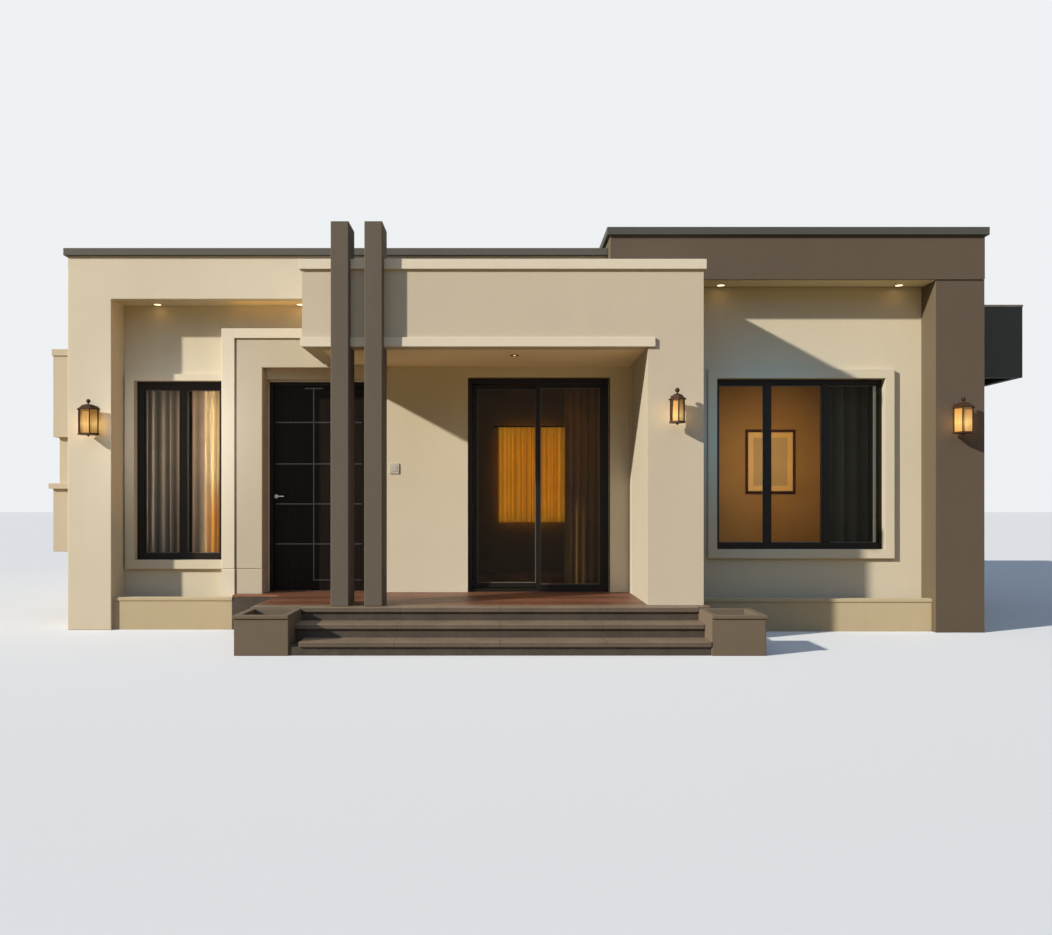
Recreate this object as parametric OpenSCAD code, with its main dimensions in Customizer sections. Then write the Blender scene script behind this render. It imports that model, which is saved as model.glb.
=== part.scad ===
// Flat-roofed bungalow with a framed left wing, a raised right wing and an open entrance porch.
// Millimetres. X runs to the right along the front, Y runs from the front to the back, Z is up.
// The origin is at ground level, on the centre line of the entrance steps, halfway between the
// porch wall's outer face and the back wall's outer face.

/* [House body] */
// Depth from the porch wall's outer face to the back wall's outer face
house_depth = 9000; // [7800:50:10500]
// Reach of the house to the left of the steps' centre line
left_reach = 5580; // [5400:10:6000]
// Reach of the house to the right of the steps' centre line
right_reach = 6130; // [6000:10:6600]
// Thickness of the rendered block walls
wall_t = 250; // [200:5:300]
// Height of the ground floor above the ground
floor_h = 450; // [420:5:520]
// How far the ceiling lies below the left frame's beam
ceiling_drop = 520; // [450:10:620]
// Thickness of the roof slab
roof_slab_t = 200; // [150:5:250]
// Height of the left wing's parapet above the ground
left_top = 4830; // [4700:10:4900]
// How far the right wing's parapet rises above the left one
roof_rise = 190; // [110:5:300]
// How far left of the patio door's right side the higher roof begins
roof_step_inset = 65; // [40:5:150]
// Thickness of the wall that crosses the house behind the front rooms
room_wall_t = 120; // [100:5:150]
// Depth of the front rooms, from the porch wall's inner face to the crossing wall
room_depth = 3550; // [3000:10:4200]
// Left end of the crossing wall, left of the steps' centre line
room_wall_reach = 800; // [600:10:1100]

/* [Frames of the front] */
// How far the left frame stands ahead of the wall that it frames
left_frame_depth = 420; // [350:5:500]
// Width of the left frame's leg
left_leg_w = 565; // [450:5:600]
// Height of the left frame's beam
left_beam_h = 560; // [450:5:620]
// How far the right frame stands ahead of the wall that it frames
right_frame_depth = 420; // [350:5:500]
// Width of the right column
right_column_w = 618; // [500:2:680]
// How far the column's face lies behind the fascia's
column_back = 15; // [0:1:25]
// Height of the right fascia
right_fascia_h = 555; // [450:5:570]

/* [Copings] */
// Thickness of the left roof's coping
left_coping_t = 90; // [60:5:120]
// Thickness of the right roof's coping
right_coping_t = 100; // [60:5:140]
// How far the copings stand out over the walls
coping_out = 40; // [20:5:60]

/* [Portico] */
// Depth of the porch, from the front of the pier to the porch wall
porch_depth = 1570; // [1400:10:1900]
// Reach of the portico to the left of the steps' centre line
portico_reach = 2310; // [2200:5:2450]
// Left face of the pier, from the steps' centre line
pier_x = 1727; // [1700:1:1760]
// Width of the pier
pier_w = 649; // [560:1:700]
// Height of the portico's front, from its ceiling to its coping
portico_front_h = 905; // [800:5:960]
// Thickness of the portico's roof slab
portico_slab_t = 150; // [120:5:200]
// Thickness of the portico's front and side upstands
portico_wall_t = 200; // [150:5:250]
// How far the top of the portico's front lies below the left parapet
portico_drop = 465; // [430:5:520]
// Thickness of the coping on the portico
portico_coping_t = 115; // [80:5:130]
// How far that coping stands out
portico_coping_out = 32; // [15:1:45]
// Height of the pale band along the foot of the portico's front
band_h = 110; // [80:5:140]
// How far the pale band stands proud
band_out = 30; // [15:1:45]
// How far the pale band runs on over the pier
band_lap = 83; // [40:1:160]

/* [Fins] */
// Width of each upright fin
fin_w = 208; // [150:1:220]
// Depth of each upright fin
fin_depth = 430; // [380:5:550]
// How far the fins stand behind the front edge of the porch floor
fin_back = 100; // [0:5:120]
// Clear distance between the two fins
fin_gap = 180; // [150:1:200]
// Left face of the left fin, left of the steps' centre line
fin_reach = 1950; // [1940:1:1970]
// How far the fins rise above the left parapet
fin_rise = 56; // [5:1:400]

/* [Porch floor and steps] */
// How far the deck runs on in front of the pier
deck_lip = 250; // [210:5:300]
// Thickness of the timber deck
deck_t = 25; // [20:1:40]
// Number of risers up to the deck
risers = 3; // [3:1:3]
// Going of each step
going = 320; // [280:5:340]
// Thickness of the stone treads
tread_t = 57; // [40:1:70]
// How far each tread stands over its riser
nosing = 30; // [15:1:40]
// Half the width of the steps
steps_half_w = 2270; // [2200:5:2290]
// Space between the lowest tread and the left box planter
low_tread_gap = 110; // [20:5:150]
// How far the porch base runs on past the pier
base_past = 44; // [20:1:80]

/* [Planters] */
// Width of the box planters beside the steps
box_w = 585; // [500:5:650]
// How far the box planters reach behind the deck's front edge
box_behind = 50; // [20:5:90]
// How far the lowest tread stands ahead of the box planters
box_back_set = 10; // [0:1:30]
// Height of the box planters
box_h = 435; // [380:5:460]
// Wall of the box planters
box_wall = 70; // [50:5:100]
// Thickness of the box planters' rim
rim_t = 38; // [25:1:60]
// How far the rim stands out
rim_out = 16; // [8:1:18]
// Height of the front planters' walls, with their coping
planter_h = 418; // [350:2:440]
// Thickness of the front planters' walls
planter_wall = 100; // [80:5:120]
// Thickness of the front planters' coping
planter_coping_t = 45; // [30:1:60]
// How far the left planter stands behind the left frame's front
left_planter_back = 50; // [20:5:80]
// How far the right planter stands behind the right frame's front
right_planter_back = 120; // [40:5:140]
// How far the left planter runs on past the inner edge of the surround's band
left_planter_lap = 17; // [5:1:40]

/* [Front door] */
// Right side of the door opening, left of the steps' centre line
door_end = 1780; // [1740:5:1800]
// Width of the door opening
door_w = 1350; // [1300:5:1360]
// How far the door's head lies above the window heads
door_head_rise = 22; // [0:1:40]
// Width of the door frame's posts
door_post = 45; // [40:1:60]
// Depth of the door frame
door_frame_d = 100; // [90:1:120]
// How far the frame's stop covers the leaf
door_stop = 20; // [14:1:24]
// Thickness of the door leaf
leaf_t = 58; // [45:1:60]
// Clear gap round the door leaf
leaf_gap = 8; // [6:1:10]
// Width of the inlay strips on the door leaf
strip_w = 16; // [10:1:24]
// How far the inlay strips stand out
strip_out = 4; // [2:1:5]
// Radius of the hinge pins
hinge_pin_r = 5; // [4:0.5:6]
// Radius of the hinge barrels
hinge_r = 10; // [9:0.5:12]
// Height of the turning part of a hinge
hinge_h = 120; // [80:5:160]
// Height of the lever handle above the floor
lever_level = 1280; // [1000:10:1350]
// Length of the lever
lever_len = 120; // [90:5:140]
// Radius of the lever
lever_r = 9; // [7:1:11]
// Radius of the handle's rose
rose_r = 26; // [20:1:30]
// Clear gap between the handle's rose and the frame's stop
rose_clear = 10; // [6:1:16]

/* [Door surround] */
// Width of the surround's outer band
surround_band_w = 173; // [120:1:190]
// Width of the surround left of the door opening
surround_left_w = 530; // [480:5:560]
// How far the surround's head runs on right of the door opening
surround_right_w = 280; // [220:5:300]
// How far the surround's top lies below the left frame's beam
surround_drop = 335; // [280:5:400]
// Height of the outer band along the top
surround_band_h = 127; // [100:1:150]
// How far the surround's panel stands ahead of the wall
surround_out = 190; // [120:5:240]
// How far the outer band stands ahead of the panel
surround_step = 16; // [15:1:45]
// Width of the groove between the band and the panel
groove_w = 24; // [12:1:30]
// Depth of the groove
groove_d = 20; // [10:1:30]
// How far the head of the surround's opening lies below the porch ceiling
surround_head_drop = 36; // [20:2:60]
// Height above the ground of the fine groove across the foot of the surround
plinth_z = 770; // [700:5:820]
// Width and depth of that groove
plinth_groove = 10; // [6:1:14]

/* [Patio door] */
// Left side of the patio door, left of the steps' centre line
patio_reach = 430; // [400:5:430]
// Width of the patio door
patio_w = 1885; // [1870:5:1900]
// How far the patio door's head lies above the window heads
patio_head_rise = 33; // [0:1:40]
// Width of the patio door's outer frame
patio_frame_w = 60; // [50:1:75]
// Depth of the patio door's outer frame
patio_frame_d = 160; // [150:5:180]
// Width of the sashes' stiles
sash_w = 58; // [50:1:85]
// Thickness of the sashes
sash_t = 50; // [40:1:52]
// Clear gap at the sides and the top of the sliding sash
sash_gap = 8; // [6:1:10]
// Height of the rail that the sliding sash runs on
rail_h = 8; // [6:1:10]
// Radius of the rollers under the sliding sash
roller_r = 12; // [10:1:14]
// Height of the patio door's grip above the floor
grip_level = 950; // [850:10:1100]
// Length of the patio door's grip
grip_len = 300; // [200:10:400]

/* [Windows] */
// Distance from the left frame's leg to the left front window
left_window_margin = 144; // [130:2:300]
// Wall left between the left front window and the door surround
left_window_gap = 5; // [2:1:20]
// Sill of the left front window above the ground
left_window_z = 880; // [860:5:950]
// Where the mullion of the left front window stands, as a share of its width
left_mullion_share = 0.507; // [0.4:0.001:0.6]
// Distance from the pier to the right front window
right_window_left_margin = 454; // [300:2:600]
// Distance from the right front window to the right column
right_window_right_margin = 487; // [300:1:700]
// Sill of the right front window above the ground
right_window_z = 1034; // [980:2:1100]
// Where the mullions of the right front window stand, as shares of its width
right_mullion_shares = [0.317, 0.668];
// How far the window heads lie below the left frame's beam
head_drop = 1002; // [960:2:1100]
// Width of the side and back windows
plain_window_w = 1500; // [1200:10:1600]
// How far the window frames lie behind the wall's face
window_back = 70; // [50:5:90]
// Depth of the window frames
window_frame_d = 100; // [80:5:120]
// Width of the left front window's frame, sash and all, at its sides, head and foot
left_frame_widths = [106, 112, 88];
// Width of the right front window's frame at its sides, head and foot
right_frame_widths = [58, 80, 84];
// Width of the side and back windows' frames at their sides, head and foot
plain_frame_widths = [70, 84, 84];
// Step between the fixed frame and the sash that stands in it
sash_step = 18; // [10:1:24]
// Thickness of the window mullions
mullion_w = 98; // [70:1:110]
// Thickness of a sheet of window glass, with its air space
glass_t = 14; // [10:1:24]
// Width of the raised band beside a window
window_band_w = 116; // [90:2:126]
// Height of the raised band over the left front window and the plain windows
window_band_top = 90; // [60:5:120]
// Height of the raised band over the right front window
right_band_top = 115; // [60:5:140]
// Height of the raised band under a window
window_band_sill = 115; // [90:5:140]
// How far the raised band stands out
window_band_out = 50; // [25:1:60]

/* [Side bay and side canopy] */
// How far the bay stands out from the left side
bay_out = 620; // [450:5:700]
// Length of the bay along the left side
bay_len = 2400; // [1800:10:2800]
// Distance from the porch wall's face to the bay's front
bay_back = 480; // [300:5:800]
// Underside of the bay above the ground
bay_z = 967; // [800:1:1100]
// Top of the bay's lower part above the ground
bay_sill_z = 1838; // [1700:1:1900]
// Thickness of the bay's ledge
bay_ledge_t = 74; // [50:1:90]
// Underside of the bay's upper part above the ground
bay_head_z = 2555; // [2400:1:2700]
// Top of the bay's upper part above the ground
bay_top_z = 3683; // [3500:1:3740]
// Thickness of the bay's top slab
bay_cap_t = 90; // [60:1:120]
// Wall of the bay
bay_wall = 120; // [100:5:150]
// How far the canopy stands out from the right side
canopy_out = 950; // [700:10:1100]
// Length of the canopy along the right side
canopy_len = 2400; // [2000:10:3000]
// Distance from the porch wall's face to the canopy's front
canopy_back = 180; // [100:5:500]
// Underside of the canopy above the ground
canopy_z = 3340; // [3300:5:3500]
// Height of the canopy
canopy_h = 980; // [700:10:1050]
// Thickness of the canopy's sides
canopy_wall = 90; // [60:5:120]

/* [Lanterns] */
// Width of the lanterns on the two wings, from face to face
wing_lantern_w = 228; // [200:2:250]
// Width of the lantern on the pier, from face to face
pier_lantern_w = 156; // [140:2:200]
// Turn of the lanterns on the two wings; at 0 a face lies ahead
wing_lantern_turn = 0; // [0:5:30]
// Turn of the lantern on the pier; at 30 a corner lies ahead
pier_lantern_turn = 30; // [0:5:30]
// Top of the lanterns' ball finials above the ground
lantern_top = 2965; // [2700:5:3000]
// Height of the glazed part of the lanterns on the wings
wing_lantern_glass = 300; // [220:5:320]
// Height of the glazed part of the lantern on the pier
pier_lantern_glass = 248; // [200:4:280]
// Distance from the wall to the lantern's centre line
lantern_arm = 160; // [155:1:180]
// Height of the lantern's domed roof
lantern_roof_h = 74; // [50:2:90]

/* [Curtains] */
// How far the curtain rods lie above the window heads
rod_rise = 77; // [50:1:130]
// How far the rod on the crossing wall hangs below the others
inner_rod_drop = 380; // [200:10:500]
// Height above the floor of the short curtains' hem on that rod
inner_hem = 860; // [600:10:1000]
// Radius of the curtain rods
rod_r = 14; // [10:1:18]
// Distance from the wall's inner face to the rods
rod_back = 110; // [90:5:140]
// Thickness of the space that a gathered curtain takes up
curtain_t = 90; // [60:5:110]
// Space under the curtains
curtain_lift = 40; // [20:5:80]

/* [Hidden] */
$fn = 48;

// Hairline space that keeps a soft or running piece clear of its seat
seat_gap = 0.3;
// Radial clearance of a hinge barrel on its pin
pin_clearance = 0.1;

// Planes of the front, from back to front
wall_y = -house_depth / 2;
wall_in_y = wall_y + wall_t;
back_y = house_depth / 2;
back_in_y = back_y - wall_t;
right_wall_y = wall_y - wall_t;
left_front_y = wall_y - left_frame_depth;
right_front_y = right_wall_y - right_frame_depth;
column_y = right_front_y + column_back;
porch_front_y = wall_y - porch_depth;
deck_front_y = porch_front_y - deck_lip;
surround_y = wall_y - surround_out;
surround_front_y = surround_y - surround_step;

// Levels
left_beam_z = left_top - left_beam_h;
right_top = left_top + roof_rise;
right_fascia_z = right_top - right_fascia_h;
portico_top = left_top - portico_drop;
soffit_z = portico_top - portico_front_h;
fin_top = left_top + fin_rise;
window_head = left_beam_z - head_drop;
ceiling_z = left_beam_z - ceiling_drop;
roof_z = ceiling_z + roof_slab_t;
base_z = floor_h - deck_t;
riser_h = floor_h / risers;

// Sides
left_x = -left_reach;
left_in_x = left_x + wall_t;
right_x = right_reach;
right_in_x = right_x - wall_t;
leg_in_x = left_x + left_leg_w;
column_in_x = right_x - right_column_w;
portico_x = -portico_reach;
pier_end_x = pier_x + pier_w;
corner_x = pier_x + wall_t;
base_end_x = pier_end_x + base_past;

// Front door and its surround
door_x1 = -door_end;
door_x0 = door_x1 - door_w;
door_head_z = window_head + door_head_rise;
surround_x0 = door_x0 - surround_left_w;
surround_x1 = door_x1 + surround_right_w;
surround_top = left_beam_z - surround_drop;
surround_head = soffit_z - surround_head_drop;
door_frame_y = wall_in_y - door_frame_d;
stop_d = 24;
leaf_x0 = door_x0 + door_post + leaf_gap;
leaf_x1 = door_x1 - door_post - leaf_gap;
leaf_y0 = door_frame_y + stop_d + leaf_gap - 2;
leaf_y1 = leaf_y0 + leaf_t;
leaf_z0 = floor_h + leaf_gap;
leaf_z1 = door_head_z - door_post - leaf_gap;
hinge_x = door_x1 - door_post - leaf_gap / 2;
hinge_y = wall_in_y + hinge_r + 6;
hinge_bore_r = hinge_pin_r + pin_clearance;
hinge_knuckle_h = 34;
hinge_plate_w = 46;
hinge_levels = [leaf_z0 + 240, (leaf_z0 + leaf_z1) / 2, leaf_z1 - 240];
inlay_levels = [0.226, 0.421, 0.616, 0.818];
inlay_side = 38;
inlay_end = 132;
inlay_cap_w = 240;

// Patio door
patio_x0 = -patio_reach;
patio_x1 = patio_x0 + patio_w;
patio_head_z = window_head + patio_head_rise;
roof_step_x = patio_x1 - roof_step_inset;
patio_y = wall_in_y - patio_frame_d - 30;
patio_mid_x = (patio_x0 + patio_x1) / 2;
sill_h = 40;
track_y = patio_y + patio_frame_d - sash_t / 2 - 16;
fixed_sash_y = patio_y + 12;
sash_y0 = track_y - sash_t / 2;
sash_x0 = patio_x0 + patio_frame_w + sash_gap;
sash_x1 = patio_mid_x + sash_w / 2;
sash_z0 = floor_h + sill_h + rail_h + 5;
sash_z1 = patio_head_z - patio_frame_w - sash_gap;
roller_z = floor_h + sill_h + rail_h + seat_gap + roller_r;
roller_w = 8;

// Box planters
box_front_y = deck_front_y - (risers - 1) * going + box_back_set;
box_back_y = deck_front_y + box_behind;
box_d = box_back_y - box_front_y;
landing_x = -steps_half_w - box_w;
left_planter_y = left_front_y + left_planter_back;
right_planter_y = right_front_y + right_planter_back;
landing_end_x = surround_x0 + surround_band_w + left_planter_lap;

// Fins
fin_x = [-fin_reach, -fin_reach + fin_w + fin_gap];
fin_y = deck_front_y + fin_back;

// Windows
left_window_x = leg_in_x + left_window_margin;
left_window_w = surround_x0 - left_window_gap - left_window_x;
right_window_x = pier_end_x + right_window_left_margin;
right_window_w = column_in_x - right_window_right_margin - right_window_x;
left_side_window_y = house_depth / 10;
right_window_margin = 650;
right_side_window_y = [wall_y + right_window_margin, house_depth / 10];
back_margins = [880, 1730];
back_window_x = [left_x + back_margins[0], -plain_window_w / 2 + 50,
    right_x - back_margins[1] - plain_window_w];
plain_window_z = right_window_z;
bay_y0 = wall_y + bay_back;
bay_y1 = bay_y0 + bay_len;
canopy_y0 = wall_y + canopy_back;
recess_of_glazing = 60;
bay_glass_t = 40;

// Lanterns: [x, wall face, width, height of the glazed part, turn]
lantern_shares = [0.60, 0.48, 0.44];
lantern_places = [
    [left_x + left_leg_w * lantern_shares[0], left_front_y, wing_lantern_w, wing_lantern_glass,
        wing_lantern_turn],
    [pier_x + pier_w * lantern_shares[1], porch_front_y, pier_lantern_w, pier_lantern_glass,
        pier_lantern_turn],
    [column_in_x + right_column_w * lantern_shares[2], column_y, wing_lantern_w,
        wing_lantern_glass, wing_lantern_turn]];
lantern_base_h = 20;
lantern_finial_r = 27;
lantern_neck_h = 14;
lantern_post_r = 8;

// Rods: [low x, high x, y of the rod, wall that the brackets reach to, height]
rod_z = window_head + rod_rise;
inner_rod_z = rod_z - inner_rod_drop;
rod_lap = 70;
bracket_inset = 25;
bracket_w = 16;
front_rod_y = wall_in_y + rod_back;
right_rod_y = wall_y + rod_back;
room_wall_y = wall_in_y + room_depth;
inner_rod_y = room_wall_y - rod_back;
inner_rod_insets = [320, 255];
inner_rod_x = [patio_x0 + inner_rod_insets[0], patio_x1 - inner_rod_insets[1]];
rod_spans = [
    [left_window_x - rod_lap, left_window_x + left_window_w + rod_lap,
        front_rod_y, wall_in_y, rod_z],
    [patio_x0 - rod_lap, patio_x1 + rod_lap / 2, front_rod_y, wall_in_y, rod_z],
    [right_window_x - rod_lap, right_window_x + right_window_w + rod_lap,
        right_rod_y, wall_y, rod_z],
    [inner_rod_x[0], inner_rod_x[1], inner_rod_y, room_wall_y, inner_rod_z]];

// Curtains: [low x, high x, rod, hem above the ground]
hem_z = floor_h + curtain_lift;
curtain_gap = 20;
patio_curtain_w = 545;
right_curtain_w = 700;
left_mullion_x = left_window_x + left_mullion_share * left_window_w;
inner_mid_x = (inner_rod_x[0] + inner_rod_x[1]) / 2;
curtain_spans = [
    [left_window_x - rod_lap / 2, left_mullion_x - curtain_gap, rod_spans[0], hem_z],
    [left_mullion_x + curtain_gap, left_window_x + left_window_w + rod_lap / 2,
        rod_spans[0], hem_z],
    [patio_x1 - curtain_gap - patio_curtain_w, patio_x1 - curtain_gap, rod_spans[1], hem_z],
    [right_window_x + right_window_w - right_curtain_w,
        right_window_x + right_window_w + rod_lap / 2, rod_spans[2], hem_z],
    [inner_rod_x[0] + rod_lap, inner_mid_x - curtain_gap / 2, rod_spans[3],
        floor_h + inner_hem],
    [inner_mid_x + curtain_gap / 2, inner_rod_x[1] - rod_lap, rod_spans[3],
        floor_h + inner_hem]];

cream = [0.87, 0.80, 0.66];
beige = [0.76, 0.69, 0.56];
taupe = [0.36, 0.32, 0.27];
stone = [0.47, 0.43, 0.38];
black = [0.07, 0.07, 0.07];
bronze = [0.25, 0.17, 0.10];

// A block between two corners
module block(x0, x1, y0, y1, z0, z1) {
    translate([x0, y0, z0]) cube([x1 - x0, y1 - y0, z1 - z0]);
}

// A rectangle between two corners
module area(x0, x1, y0, y1) {
    translate([x0, y0]) square([x1 - x0, y1 - y0]);
}

// An upright plate: a drawing in X and Z, given its depth along Y from y on
module upright(y, depth) {
    translate([0, y + depth, 0]) rotate([90, 0, 0]) linear_extrude(depth) children();
}

// The outline of the house between its walls
module room_outline() {
    polygon([[left_in_x, wall_in_y], [corner_x, wall_in_y], [corner_x, wall_y],
        [right_in_x, wall_y], [right_in_x, back_in_y], [left_in_x, back_in_y]]);
}

// Places a window drawn with its outer side on Y = 0 into each wall
module on_left_wall(y_end, z) {
    translate([left_x, y_end, z]) rotate([0, 0, -90]) children();
}
module on_right_wall(y, z) {
    translate([right_x, y, z]) rotate([0, 0, 90]) children();
}
module on_back_wall(x_end, z) {
    translate([x_end, back_y, z]) rotate([0, 0, 180]) children();
}

// The raised band round a window, as a ring on the wall's face
module window_band(w, h, right_w = window_band_w, top = window_band_top) {
    translate([0, -window_band_out, 0]) upright(0, window_band_out) difference() {
        area(-window_band_w, w + right_w, -window_band_sill, h + top);
        area(0, w, 0, h);
    }
}

// The hole for a window
module window_hole(w, h) {
    block(0, w, -window_band_out - 1, wall_t + 1, 0, h);
}

// A ring inside a w by h opening; widths are those of its sides, head and foot
module ring(w, h, widths, depth_at, depth, shrink = 0) {
    upright(depth_at, depth) difference() {
        area(shrink, w - shrink, shrink, h - shrink);
        area(widths[0], w - widths[0], widths[2], h - widths[1]);
    }
}

// Frame, sashes and mullions of a window; shares place the middle of each mullion
module window_frame(w, h, widths, shares) {
    outer = [for (v = widths) v - sash_step];
    translate([0, window_back, 0]) {
        ring(w, h, outer, 0, window_frame_d);
        ring(w, h, widths, sash_step, window_frame_d / 2 - sash_step, sash_step);
        for (m = shares * w)
            block(m - mullion_w / 2, m + mullion_w / 2, sash_step / 2, window_frame_d / 2,
                outer[2], h - outer[1]);
    }
}

// The sheet of glass behind the mullions
module window_pane(w, h, widths) {
    outer = [for (v = widths) v - sash_step];
    block(outer[0], w - outer[0], window_back + window_frame_d / 2,
        window_back + window_frame_d / 2 + glass_t, outer[2], h - outer[1]);
}

left_window_h = window_head - left_window_z;
right_window_h = window_head - right_window_z;
plain_window_h = window_head - plain_window_z;

module floor_slab() {
    color("gray") linear_extrude(floor_h) room_outline();
}

// Plan of the porch's base, landing in front of the door included
module porch_plan() {
    polygon([[landing_end_x, surround_front_y], [landing_end_x, left_planter_y],
        [landing_x, left_planter_y], [landing_x, box_back_y], [-steps_half_w, box_back_y],
        [-steps_half_w, deck_front_y + nosing], [steps_half_w, deck_front_y + nosing],
        [steps_half_w, box_back_y], [base_end_x, box_back_y], [base_end_x, right_wall_y],
        [pier_x, right_wall_y], [pier_x, wall_y], [patio_x1, wall_y], [patio_x1, wall_in_y],
        [door_x0, wall_in_y], [door_x0, surround_front_y]]);
}

module porch_base() {
    lip_z = floor_h - tread_t;
    color(stone) {
        difference() {
            linear_extrude(base_z) porch_plan();
            block(landing_x - 1, base_end_x + 1, deck_front_y, porch_front_y, lip_z, floor_h);
        }
        for (i = [1:risers - 1])
            block(-steps_half_w, steps_half_w,
                deck_front_y - (risers - i) * going + nosing, deck_front_y + nosing,
                0, i * riser_h - tread_t);
    }
}

module porch_deck() {
    color([0.50, 0.26, 0.15]) translate([0, 0, base_z]) linear_extrude(deck_t) difference() {
        intersection() {
            porch_plan();
            area(landing_end_x, pier_x, porch_front_y, wall_in_y);
        }
        area(door_x1, patio_x0, wall_y, wall_in_y);
    }
}

// The two treads and the stone edge of the deck
module step_treads() {
    color(stone) {
        for (i = [1:risers - 1]) {
            front = deck_front_y - (risers - i) * going;
            block(-steps_half_w + (i == 1 ? low_tread_gap : 0), steps_half_w,
                front, front + going + nosing, i * riser_h - tread_t, i * riser_h);
        }
        translate([0, 0, floor_h - tread_t]) linear_extrude(tread_t) polygon([
            [-steps_half_w, deck_front_y], [steps_half_w, deck_front_y],
            [steps_half_w, box_back_y], [base_end_x, box_back_y], [base_end_x, porch_front_y],
            [landing_x, porch_front_y], [landing_x, box_back_y], [-steps_half_w, box_back_y]]);
    }
}

// A box planter with a projecting rim, its low corner at the origin
module box_planter() {
    color(stone) difference() {
        union() {
            cube([box_w, box_d, box_h - rim_t]);
            translate([-rim_out, -rim_out, box_h - rim_t])
                cube([box_w + rim_out, box_d + rim_out, rim_t]);
        }
        translate([box_wall, box_wall, box_wall])
            cube([box_w - 2 * box_wall, box_d - 2 * box_wall, box_h]);
    }
}

module box_planter_left() {
    translate([-steps_half_w - box_w, box_front_y, 0]) box_planter();
}

module box_planter_right() {
    translate([steps_half_w + box_w, box_front_y, 0]) mirror([1, 0, 0]) box_planter();
}

// A front planter: low walls with a coping, closed at the back by the house wall
module planter_walls(x0, x1, front, back, closed_left, closed_right) {
    in0 = x0 + (closed_left ? planter_wall : 0);
    in1 = x1 - (closed_right ? planter_wall : 0);
    color(cream) difference() {
        union() {
            block(x0, x1, front, back, 0, planter_h - planter_coping_t);
            block(x0, x1, front - 10, back, planter_h - planter_coping_t, planter_h);
        }
        block(closed_left ? in0 : x0 - 1, closed_right ? in1 : x1 + 1,
            front + planter_wall, back + 1, 60, planter_h + 1);
    }
}

module planter_left() {
    difference() {
        planter_walls(leg_in_x, landing_end_x, left_planter_y, wall_y, false, true);
        block(surround_x0, landing_end_x + 1, surround_front_y, wall_y + 1, -1, planter_h + 1);
    }
}

module planter_right() {
    planter_walls(base_end_x, column_in_x, right_planter_y, right_wall_y, true, false);
}

module front_wall_left() {
    color(cream) difference() {
        union() {
            block(left_in_x, door_x0, wall_y, wall_in_y, 0, left_top);
            translate([left_window_x, wall_y, left_window_z])
                window_band(left_window_w, left_window_h, left_window_gap);
        }
        translate([left_window_x, wall_y, left_window_z])
            window_hole(left_window_w, left_window_h);
    }
}

module door_head_wall() {
    color(cream) block(door_x0, door_x1, wall_y, wall_in_y, door_head_z, left_top);
}

module porch_wall_middle() {
    color(cream) block(door_x1, patio_x0, wall_y, wall_in_y, base_z, left_top);
}

module patio_head_wall() {
    color(cream) block(patio_x0, patio_x1, wall_y, wall_in_y, patio_head_z, left_top);
}

module porch_wall_right() {
    color(cream) block(patio_x1, corner_x, wall_y, wall_in_y, 0, right_top);
}

module front_wall_right() {
    color(cream) difference() {
        union() {
            block(pier_x, right_in_x, right_wall_y, wall_y, 0, right_top);
            translate([right_window_x, right_wall_y, right_window_z])
                window_band(right_window_w, right_window_h, top = right_band_top);
        }
        translate([right_window_x, right_wall_y, right_window_z])
            window_hole(right_window_w, right_window_h);
    }
}

module left_wall() {
    y_end = left_side_window_y + plain_window_w;
    color(cream) difference() {
        union() {
            block(left_x, left_in_x, wall_y, back_y, 0, left_top);
            on_left_wall(y_end, plain_window_z) window_band(plain_window_w, plain_window_h);
        }
        on_left_wall(y_end, plain_window_z) window_hole(plain_window_w, plain_window_h);
        block(left_x - 1, left_in_x + 1, bay_y0 + bay_wall, bay_y1 - bay_wall,
            bay_sill_z, bay_head_z);
    }
}

module right_wall() {
    color(cream) difference() {
        union() {
            block(right_in_x, right_x, right_wall_y, back_y, 0, right_top);
            for (y = right_side_window_y)
                on_right_wall(y, plain_window_z) window_band(plain_window_w, plain_window_h);
        }
        for (y = right_side_window_y)
            on_right_wall(y, plain_window_z) window_hole(plain_window_w, plain_window_h);
    }
}

module back_wall() {
    color(cream) difference() {
        union() {
            block(left_in_x, roof_step_x, back_in_y, back_y, 0, left_top);
            block(roof_step_x, right_in_x, back_in_y, back_y, 0, right_top);
            for (x = back_window_x)
                on_back_wall(x + plain_window_w, plain_window_z)
                    window_band(plain_window_w, plain_window_h);
        }
        for (x = back_window_x)
            on_back_wall(x + plain_window_w, plain_window_z)
                window_hole(plain_window_w, plain_window_h);
    }
}

module room_wall() {
    color([0.70, 0.50, 0.28])
        block(-room_wall_reach, right_in_x, room_wall_y, room_wall_y + room_wall_t,
            floor_h, ceiling_z);
}

module left_frame_leg() {
    color(cream) block(left_x, leg_in_x, left_front_y, wall_y, 0, left_beam_z);
}

module front_beam() {
    color(cream) block(left_x, roof_step_x, left_front_y, wall_y, left_beam_z, left_top);
}

module right_column() {
    color(taupe) block(column_in_x, right_x, column_y, right_wall_y, 0, right_fascia_z);
}

module right_fascia() {
    color(taupe) {
        block(roof_step_x, right_x, right_front_y, right_wall_y, right_fascia_z, right_top);
        block(roof_step_x, pier_x, right_wall_y, wall_y, right_fascia_z, right_top);
    }
}

module roof_slab() {
    color("gray") translate([0, 0, ceiling_z]) linear_extrude(roof_slab_t) room_outline();
}

// The upstand between the lower left roof and the higher right roof
module roof_divider() {
    color(cream) {
        block(roof_step_x, roof_step_x + wall_t, wall_in_y, back_in_y, roof_z, right_top);
        block(roof_step_x, patio_x1, wall_y, wall_in_y, left_top, right_top);
    }
}

module left_coping() {
    color(taupe) translate([0, 0, left_top]) linear_extrude(left_coping_t) difference() {
        area(left_x - coping_out, roof_step_x, left_front_y - coping_out, back_y + coping_out);
        area(left_in_x + coping_out, roof_step_x + 1,
            wall_in_y + coping_out, back_in_y - coping_out);
    }
}

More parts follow.
